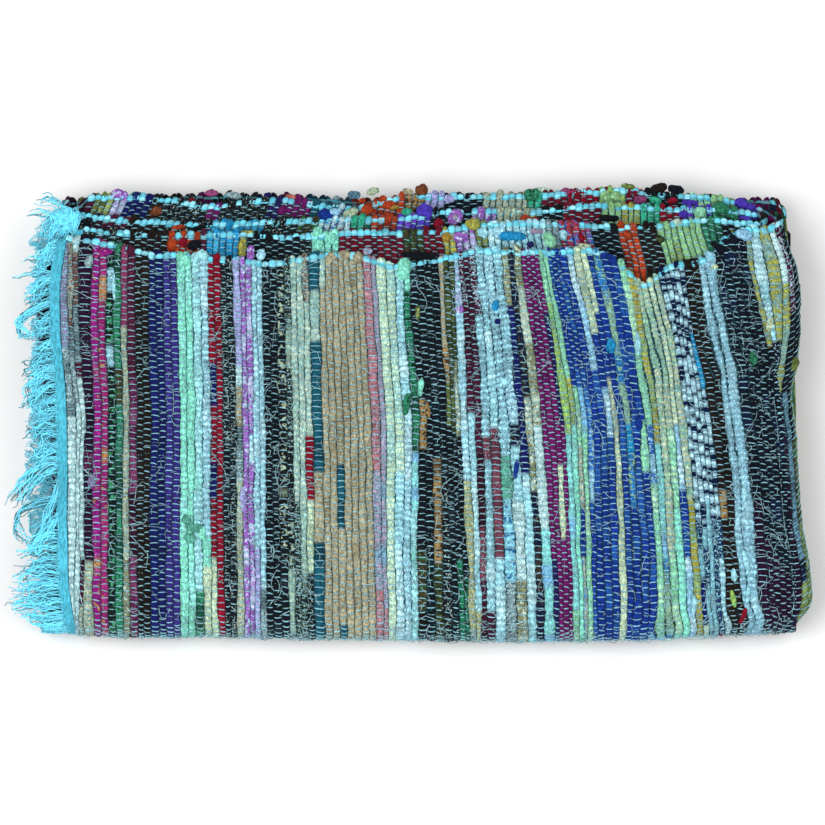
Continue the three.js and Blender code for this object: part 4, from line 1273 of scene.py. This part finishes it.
def add_cords(shape, rags, radius, tint, rng, back):
    """Cords along a selvage, one for each strand's phase, inset and share of the radius. Each goes over
    one rag and under the next as a cosine, and is thicker over a rag, so that two opposite phases show
    as one row of beads. Beads differ in size, and in light at random. Painted shade darkens a cord where
    it dips under a rag and a painted highlight lightens it where it rides over one. Some beads are also
    mixed paler by a random share, as painted highlights."""
    count = rags.middle.shape[0]
    column = -1 if back else 0
    samples, strands = (3, SEEN_STRANDS) if back else (2, HIDDEN_STRANDS)
    steps = np.arange(count * samples + 1) / samples - 0.5
    rows = np.arange(count)
    t = np.interp(steps, rows, rags.middle[:, column])
    t = np.clip(t + (steps < 0) * (steps * 2 * rags.half[0, column]), 0.0, rags.course.length)
    t[-1] = rags.course.length
    t[0] = 0.0
    low, high = rags.course.edges(t)

    def uneven():
        """Random shares from -1 to 1, one for each rag and straight between them."""
        return np.interp(steps, rows, either(rng, count))

    sway = 1.1 * uneven()
    plump = 1.0 + 0.3 * uneven()
    for phase, inside, share in strands:
        wave = np.cos(np.pi * (steps + phase))
        wave = np.sign(wave) * np.abs(wave) ** 0.7
        across = (high - inside) if back else (low + inside)
        across = across + sway + 0.7 * uneven()
        path = np.stack([t, across, 2.7 * wave * plump ** 0.5], axis=-1)[None]
        size = share * radius * (plump * (1.0 + 0.28 * wave))[None]
        ring, faces = tubes(path, size, 0.85 * size, CORD_SIDES)
        light = 1.0 + 0.35 * uneven()
        # Painted shade where the cord dips under a rag, and a painted highlight where it rides over one.
        light = light * lerp(0.4, 1.05, smoothstep(wave, -0.2, 0.9))
        # Painted highlight: some beads are mixed towards pale cyan by a random share.
        highlight_share = 0.35 * np.interp(steps, rows, rng.random(count)) ** 2
        hue = lerp(tint, linear("d4eef2"), highlight_share[:, None]) * light[:, None]
        shape.add(rags.course, ring, faces, hue[None, :, None, :])


class RUG_OT_selvages(bpy.types.Operator):
    """Make the pairs of cords along the selvages"""

    bl_idname = "rug.selvages"
    bl_label = "Selvage cords"

    def execute(self, context):
        sizes, colours = context.scene.rug_sizes, context.scene.rug_colours
        radius, tint = sizes.cord_radius / MM, np.array(colours.cord)
        rng = np.random.default_rng(SEEDS["cords"])
        shape = Shape()
        for name in RAGS:
            for back in (True, False):
                add_cords(shape, RAGS[name], radius, tint, rng, back)
        shape.piece("selvage_cords", "cyan_cotton_yarn", "rug_field")
        return {"FINISHED"}


ENDS = {
    "start": {"course": "top", "back": 371.0, "under": 400.0, "proud": (2.0, 1.0), "reach": START_REACH,
              "droop": (0.0, 8.0), "fan": 20.0, "node": "fringe_start"},
    "finish": {"course": "second", "back": 384.0, "under": 406.0, "proud": (0.0, 0.0), "reach": FINISH_REACH,
               "droop": (-5.0, 3.0), "fan": 62.0, "node": "fringe_finish"},
}


def end_span(end):
    """Lowest and highest distance across of a heading."""
    quarter = 0.5 * np.pi * COURSES[end["course"]].depth
    return -quarter - end["under"], quarter + end["back"]


def proud_at(end, across):
    """How far the middle of a heading stands off its layer, eased from under to over."""
    return lerp(end["proud"][0], end["proud"][1], smoothstep(across, -60.0, 60.0))


class RUG_OT_headings(bpy.types.Operator):
    """Make the two woven headings"""

    bl_idname = "rug.headings"
    bl_label = "Headings"

    def execute(self, context):
        sizes, colours = context.scene.rug_sizes, context.scene.rug_colours
        half = sizes.heading_thickness / MM / 2.0
        rng = np.random.default_rng(SEEDS["headings"])
        long_way, picks = 260, 15
        for name, end in ENDS.items():
            low, high = end_span(end)
            rows = np.linspace(low, high, long_way)
            columns = np.linspace(-PIECE_GAP - HEADING_WIDTH, -PIECE_GAP, picks)
            t, across = np.meshgrid(columns, rows, indexing="ij")
            pick = np.arange(picks)[:, None]
            ridge = 1.0 - 0.30 * (pick % 2)
            weave = 1.0 + 0.16 * np.where((np.arange(long_way) + pick // 2) % 2, 1, -1)
            lift = half * ridge * weave
            lift[0] *= 0.5
            lift[-1] *= 0.6
            t = t + np.linspace(1.0, 0.0, picks)[:, None] * 1.1 * drift(rng, 1, long_way, 4)
            proud = proud_at(end, across)
            flat = np.stack([np.stack([t, across, proud + way * lift], axis=-1) for way in (1.0, -1.0)])
            number = np.arange(flat[..., 0].size).reshape(flat.shape[:3])
            shape = Shape()
            light = 1.0 + 0.14 * drift(rng, 1, long_way, 12)
            light = light + 0.22 * either(rng, picks, long_way)
            tint = np.array(colours.heading) * light[None, :, :, None]
            shape.add(COURSES[end["course"]], flat, sheet_faces(number), tint)
            shape.piece("heading_" + name, "plain_woven_cyan_cotton", end["node"])
        return {"FINISHED"}


def add_fringe(shape, end, low, high, count, points, radius, tint, rng):
    """Loose yarns of one end. A yarn leaves the heading straight, then its direction swings by two sines
    of its length: a long one that it shares with its neighbours, so that they make tufts, and a short
    crinkle of its own. It is scaled to the reach of the fringe there, and droops by a power of its length."""
    root = np.sort(rng.uniform(low, high, count))
    span = high - low
    tufts = int(span / 9.0) + 3
    place = (root - low) / span * (tufts - 1.01)
    shared = [np.interp(place, np.arange(tufts), knots) for knots in either(rng, 4, tufts)]
    own = rng.normal(0.0, 1.0, (5, count))
    part = np.linspace(0.0, 1.0, points)[None, :]
    swing = np.radians(72.0 * shared[0] + 26.0 * own[0])[:, None]
    crinkle = np.radians(24.0 + 12.0 * own[1])[:, None]
    slow = 2.0 * np.pi * (0.75 + 0.35 * shared[1] + 0.15 * own[2])[:, None]
    quick = 2.0 * np.pi * rng.uniform(2.2, 4.2, (count, 1))
    fan = np.radians(end["fan"]) * smoothstep(root, high - 45.0, high)[:, None]
    start = smoothstep(part, 0.05, 0.3)
    angle = swing * np.sin(slow * part + 2.0 * shared[2][:, None]) * start
    angle = angle + crinkle * np.sin(quick * part + 6.3 * rng.random((count, 1))) * start + fan * part ** 0.5
    outward = np.cumsum(np.cos(angle), axis=1)
    sideways = np.cumsum(np.sin(angle), axis=1)
    farthest = np.maximum(outward.max(axis=1, keepdims=True), 0.45 * points)
    reach = eased(root, end["reach"][:, 0], end["reach"][:, 1], 4.0) * (1.0 - 0.42 * rng.random(count) ** 2)
    size = reach[:, None] / farthest
    inside = -PIECE_GAP - HEADING_WIDTH + 1.0
    t = inside - outward * size
    across = root[:, None] + sideways * size
    droop = lerp(end["droop"][0], end["droop"][1], smoothstep(root, -60.0, 60.0))[:, None]
    drop = droop * rng.uniform(0.1, 1.5, (count, 1)) * part ** 1.6
    curl = rng.uniform(0.3, 1.6, (count, 1)) * np.cos(quick * part + 6.3 * rng.random((count, 1))) * start
    stack = rng.uniform(-0.8, 1.8, (count, 1)) * smoothstep(part, 0.0, 0.4)
    lift = proud_at(end, root)[:, None] + stack + curl - drop
    floor_side = root[:, None] < -40.0
    lift = np.where(floor_side, np.clip(lift, -6.0, 3.2), lift)
    path = np.stack([t, across, lift], axis=-1)
    size = radius * rng.uniform(0.75, 1.25, (count, 1)) * (1.0 - 0.4 * part ** 3)
    # Painted shade darkens each yarn at its root by the heading; the rest of the spread is tone at random.
    light = rng.uniform(0.75, 1.2, (count, 1, 1, 1)) * lerp(0.95, 1.12, part)[:, :, None, None]
    add_yarns(shape, COURSES[end["course"]], path, size, tint * light)


def flat_spot(course, pixel, down):
    """Flat t and across of a photograph's pixel on a straight course: its place is in proportion to the
    rows from the front edge, and a layer that lies deeper shows a little further down."""
    front = FRONT_ROW + ROWS_PER_DEPTH * (TOP_DEPTH - course.depth)
    place = (front - down) * PLACE_PER_ROW + FRONT_EDGE_PLACE
    left = fold_line(course.left, place)
    right = fold_line(course.right, place) - course.inset
    along = (pixel - PHOTO_MIDDLE) * PHOTO_SCALE
    return (along - left) / (right - left) * course.length, place + 0.5 * np.pi * course.depth - FRONT_PLACE


# Yarns drawn for each that a lock's chart counts, and the millimetres from one warp end to the next.
LOCK_SHARE = 0.75
WARP_PITCH = 3.25


def add_locks(shape, end, locks, points, radius, tint, rng):
    """Yarns in locks. Each runs along a quadratic curve from its root in the heading, towards the lock's
    bend, to the lock's tip, with a fine crinkle of its own and, in some, a curl at the end. The roots
    keep to the warp's pitch, so that dark gaps show between them."""
    course = COURSES[end["course"]]
    locks = np.repeat(locks, (LOCK_SHARE * locks[:, 7] + 0.5).astype(int), axis=0)
    count = len(locks)
    share = either(rng, count)
    root = flat_spot(course, 60.0, locks[:, 0] + share * locks[:, 1])[1]
    root = np.round(root / WARP_PITCH) * WARP_PITCH + rng.uniform(-0.8, 0.8, count)
    root = np.minimum(root, end_span(end)[1] - 1.0)
    first = -PIECE_GAP - HEADING_WIDTH + rng.uniform(0.0, 3.0, count)
    bend_t, bend_across = flat_spot(course, locks[:, 2], locks[:, 3] + 0.5 * share * locks[:, 1])
    tip_t, tip_across = flat_spot(course, locks[:, 4], locks[:, 5])
    loose = rng.normal(0.0, 1.0, (4, count))
    ends = np.stack([
        np.stack([first, root]),
        np.stack([bend_t + 3.6 * loose[0], bend_across + 4.6 * loose[1]]),
        np.stack([tip_t + 0.9 * locks[:, 6] * loose[2], tip_across + 1.2 * locks[:, 6] * loose[3]]),
    ])[..., None]
    part = np.linspace(0.0, 1.0, points)[None, :] * (1.0 - 0.4 * rng.random((count, 1)) ** 2.5)
    flat = (1.0 - part) ** 2 * ends[0] + 2.0 * part * (1.0 - part) * ends[1] + part ** 2 * ends[2]
    free = smoothstep(part, 0.06, 0.35)
    turns = 2.0 * np.pi * (rng.uniform(1.2, 4.5, (2, count, 1)) * part + rng.random((2, count, 1)))
    flat = flat + rng.uniform(0.5, 2.4, (2, count, 1)) * free * np.sin(turns)
    curl = np.where(rng.random((count, 1)) < 0.7, rng.uniform(1.0, 3.8, (count, 1)), 0.0)
    spin = smoothstep(part, 0.62, 1.0) * rng.choice((-1.0, 1.0), (count, 1))
    spin = spin * rng.uniform(3.0, 7.0, (count, 1))
    phase = 2.0 * np.pi * rng.random((count, 1))
    flat = flat + curl * np.stack([wave(phase + spin) - wave(phase) for wave in (np.cos, np.sin)])
    out = np.clip(first[:, None] - flat[0], 0.0, 60.0)
    droop = lerp(end["droop"][0], end["droop"][1], smoothstep(root, -60.0, 60.0))[:, None]
    stack = rng.uniform(-0.6, 2.6, (count, 1)) * free + 0.6 * free * np.sin(turns[0] + 1.0)
    lift = proud_at(end, root)[:, None] + 1.2 * (1.0 - free) + stack - droop * (out / 40.0) ** 1.5
    path = np.stack([flat[0], flat[1], lift], axis=-1)
    size = radius * rng.uniform(0.75, 1.3, (count, 1)) * (1.0 - 0.35 * part ** 3)
    # Painted highlight on yarns that stack higher, painted shade on low ones and at the roots.
    height = smoothstep(stack.max(axis=1), 0.0, 2.6)[:, None]
    light = lerp(0.36, 1.4, height) * rng.uniform(0.8, 1.15, (count, 1)) * lerp(0.85, 1.1, part)
    add_yarns(shape, course, path, size, tint * light[:, :, None, None])


# Each fringe: its end, its charted locks, and how far across and with how many loose yarns it goes on.
FRINGES = (("start", START_LOCKS, 12.0, 90), ("finish", FINISH_LOCKS, 400.0, 330))
# Further under than this, across, a coarser fringe of so many yarns hangs, which the stack hides.
FLOOR_SIDE_FROM = -70.0
FLOOR_YARNS = 320


class RUG_OT_fringes(bpy.types.Operator):
    """Make the loose yarns of both fringes"""

    bl_idname = "rug.fringes"
    bl_label = "Fringes"

    def execute(self, context):
        sizes, colours = context.scene.rug_sizes, context.scene.rug_colours
        radius, tint = sizes.yarn_radius / MM, np.array(colours.fringe)
        rng = np.random.default_rng(SEEDS["fringes"])
        for name, locks, back, count in FRINGES:
            end = ENDS[name]
            lowest = end_span(end)[0] + 4.0
            shape = Shape()
            add_locks(shape, end, locks, 17, 1.15 * radius, tint, rng)
            add_fringe(shape, end, FLOOR_SIDE_FROM, back, count, 12, radius, tint, rng)
            add_fringe(shape, end, lowest, FLOOR_SIDE_FROM, FLOOR_YARNS, 7, 1.3 * radius, tint, rng)
            shape.piece(name + "_fringe", "cyan_cotton_yarn", end["node"])
        return {"FINISHED"}


def add_lumps(shape, course, spots, half, lift, cloth, rng):
    """Closed crumpled lumps at flat spots: a short tube along the longer side whose radius follows the
    sine from end to end, with every vertex moved in or out by a random share."""
    count = len(cloth)
    slant = rng.uniform(-0.25, 0.25, (count, 1)) + np.where(half[:, :1] >= half[:, 1:], 0.0, 0.5 * np.pi)
    long, thin = half.max(axis=1)[:, None], half.min(axis=1)[:, None]
    rings, sides = 7, 8
    angle = np.radians(np.linspace(168.0, 12.0, rings))
    wide = np.sin(angle) ** 0.75 * (1.0 + 0.15 * either(rng, count, rings))
    path = np.stack([
        spots[0][:, None] + long * np.cos(angle) * np.cos(slant),
        spots[1][:, None] + long * np.cos(angle) * np.sin(slant),
        np.repeat(lift[:, None], rings, axis=1),
    ], axis=-1)
    high = 0.6 * thin + 1.2
    crumple = 1.0 + 0.14 * either(rng, count, rings, sides)
    thick, tall = [(half_size * wide)[..., None] * crumple for half_size in (thin, high)]
    ring, faces = tubes(path, thick, tall, np.arange(sides) * 360.0 / sides)
    light = 1.0 + 0.2 * either(rng, *ring.shape[:3])[..., None]
    tables = (CLOTH_BASE, CLOTH_SECOND, CLOTH_PRINT)
    base, second, prints = [table[cloth][:, None, None, :] for table in tables]
    shape.add(course, ring, faces, base * light, second, prints)


class RUG_OT_lumps(bpy.types.Operator):
    """Make the knots, the torn scraps and the rag loops that stand over the selvage cords"""

    bl_idname = "rug.lumps"
    bl_label = "Knots and scraps"

    def execute(self, context):
        rng = np.random.default_rng(SEEDS["lumps"])
        shape = Shape()
        for name, rows in LUMPS.items():
            facts = np.array([row[:5] for row in rows], float)
            cloth = cloth_numbers([row[5] for row in rows])
            spots = flat_spot(COURSES[name], facts[:, 0], facts[:, 1])
            add_lumps(shape, COURSES[name], spots, facts[:, 2:4] * PHOTO_SCALE, facts[:, 4], cloth, rng)
        for name in ("top", "second", "third", "fourth"):
            rags = RAGS[name]
            row = 2 + np.flatnonzero(rng.random(len(rags.middle) - 5) < 0.45)
            spots = rags.middle[row, -1], rags.high[row, 0] - rng.uniform(-1.0, 3.0, len(row))
            half = np.stack([1.05 * rags.half[row, -1], rng.uniform(3.6, 6.0, len(row))], axis=1)
            lift = rng.uniform(1.2, 2.6, len(row))
            add_lumps(shape, rags.course, spots, half, lift, rags.cloth[row, -1], rng)
        shape.piece("knots_and_scraps", "torn_cotton_rag", "rug_field")
        return {"FINISHED"}


class RUG_OT_threads(bpy.types.Operator):
    """Make the loose threads that fray from the torn edges of the rags"""

    bl_idname = "rug.threads"
    bl_label = "Loose threads"

    def execute(self, context):
        rng = np.random.default_rng(SEEDS["threads"])
        count = context.scene.rug_sizes.thread_count
        rags = RAGS["top"]
        odds = CLOTH_FRAY[rags.cloth] * (rags.across > -50.0)
        odds[:, -4:] = 0.0
        flat = rng.choice(odds.size, count, p=odds.ravel() / odds.sum())
        row, ring = np.unravel_index(flat, odds.shape)
        points, hair_share = 5, 0.35
        part = np.linspace(0.0, 1.0, points)[None, :]
        hair = rng.random((count, 1)) < hair_share
        length = rng.gamma(3.0, 5.0, (count, 1)) * np.where(hair, 0.4, 1.0)
        heading = rng.choice((-0.5, 0.5), (count, 1)) * np.pi + rng.normal(0.0, 0.5, (count, 1))
        heading = heading + np.where(hair, 0.5 * np.pi, 0.0)
        bend = rng.normal(0.0, 1.6, (count, 1)) * part + rng.normal(0.0, 1.0, (count, 1)) * np.sin(3.0 * part)
        step = length / (points - 1)
        t = rags.middle[row, ring, None] + rags.half[row, ring, None] * either(rng, count, 1)
        t = t + np.cumsum(np.cos(heading + bend) * step, axis=1)
        across = rags.across[row, ring, None] + np.cumsum(np.sin(heading + bend) * step, axis=1)
        t = np.clip(t, 1.0, LAYER_LENGTH - 1.0)
        across = np.minimum(across, rags.high[row, 0][:, None] - 2.0)
        lift = 3.7 + rng.uniform(0.2, 2.6, (count, 1)) * np.sin(np.pi * part) ** 0.8
        path = np.stack([t, across, lift], axis=-1)
        size = rng.uniform(0.2, 0.42, (count, 1)) * np.ones_like(part)
        own = rags.looks_now[1][row, ring]
        pale = linear("dcecec") * DAYLIGHT
        share = rng.uniform(0.5, 1.0, (count, 1))
        tint = lerp(own, pale, share) * rng.uniform(0.75, 1.2, (count, 1))
        shape = Shape()
        add_yarns(shape, rags.course, path, size, tint[:, None, None, :])
        shape.piece("loose_threads", "torn_cotton_rag", "rug_field")
        return {"FINISHED"}


# The floor's reach, each light's place, size and power, the sky, and a long lens from far off: metres,
# watts and millimetres of lens.
FLOOR_REACH = 6.0
LIGHTS = (("key_light", (-1.3, -1.0, 2.6), 2.2, 75.0), ("fill_light", (1.6, -0.6, 2.2), 2.4, 30.0))
SKY_STRENGTH = 0.62
LENS = 513.0
CAMERA_DISTANCE = 12.0
CAMERA_TARGET = (0.0, 0.0, 0.034)


class RUG_OT_stage(bpy.types.Operator):
    """Make the floor, the lights, the world and the camera"""

    bl_idname = "rug.stage"
    bl_label = "Stage"

    def execute(self, context):
        scene = context.scene
        mesh = bpy.data.meshes.new("floor")
        corners = ((-1, -1), (1, -1), (1, 1), (-1, 1))
        mesh.from_pydata([(FLOOR_REACH * x, FLOOR_REACH * y, 0.0) for x, y in corners], [], [(0, 1, 2, 3)])
        mesh.materials.append(floor_paper())
        floor = bpy.data.objects.new("floor", mesh)
        scene.collection.objects.link(floor)
        for name, place, size, power in LIGHTS:
            data = bpy.data.lights.new(name, "AREA")
            data.size = size
            data.energy = power
            light = bpy.data.objects.new(name, data)
            light.location = place
            light.rotation_euler = (-Vector(place)).to_track_quat("-Z", "Y").to_euler()
            scene.collection.objects.link(light)
        world = bpy.data.worlds.new("soft_daylight")
        world.use_nodes = True
        ground = world.node_tree.nodes["Background"]
        ground.inputs["Color"].default_value = (1.0, 1.0, 1.0, 1.0)
        ground.inputs["Strength"].default_value = SKY_STRENGTH
        scene.world = world
        scene.view_settings.view_transform = "Standard"
        data = bpy.data.cameras.new("camera")
        data.lens = LENS
        data.clip_end = 5.0 * CAMERA_DISTANCE
        camera = bpy.data.objects.new("camera", data)
        elevation = np.radians(PHOTO_ELEVATION)
        away = Vector((0.0, -np.cos(elevation), np.sin(elevation)))
        camera.location = Vector(CAMERA_TARGET) + CAMERA_DISTANCE * away
        camera.rotation_euler = (-away).to_track_quat("-Z", "Y").to_euler()
        scene.collection.objects.link(camera)
        scene.camera = camera
        return {"FINISHED"}


class RUG_PT_panel(bpy.types.Panel):
    """Sizes, colours and pieces of the rag rug"""

    bl_label = "Rag rug"
    bl_idname = "RUG_PT_panel"
    bl_space_type = "VIEW_3D"
    bl_region_type = "UI"
    bl_category = "Rag rug"

    def draw(self, context):
        layout = self.layout
        for group in (context.scene.rug_sizes, context.scene.rug_colours):
            for name in group.__annotations__:
                layout.prop(group, name)
        for operator in OPERATORS:
            layout.operator(operator.bl_idname)


OPERATORS = (
    RUG_OT_stage,
    RUG_OT_ground,
    RUG_OT_rags,
    RUG_OT_warp,
    RUG_OT_selvages,
    RUG_OT_headings,
    RUG_OT_fringes,
    RUG_OT_lumps,
    RUG_OT_threads,
)
CLASSES = (RugSizes, RugColours, *OPERATORS, RUG_PT_panel)


def register():
    """Register the classes and hang the properties on the scene."""
    for item in CLASSES:
        bpy.utils.register_class(item)
    bpy.types.Scene.rug_sizes = PointerProperty(type=RugSizes)
    bpy.types.Scene.rug_colours = PointerProperty(type=RugColours)


def unregister():
    """Take the properties and the classes away again."""
    del bpy.types.Scene.rug_sizes
    del bpy.types.Scene.rug_colours
    for item in reversed(CLASSES):
        bpy.utils.unregister_class(item)


def main():
    """Make the stage and every piece."""
    register()
    bpy.ops.rug.stage()
    bpy.ops.rug.ground()
    bpy.ops.rug.rags()
    bpy.ops.rug.warp()
    bpy.ops.rug.selvages()
    bpy.ops.rug.headings()
    bpy.ops.rug.fringes()
    bpy.ops.rug.lumps()
    bpy.ops.rug.threads()


if __name__ == "__main__":
    main()
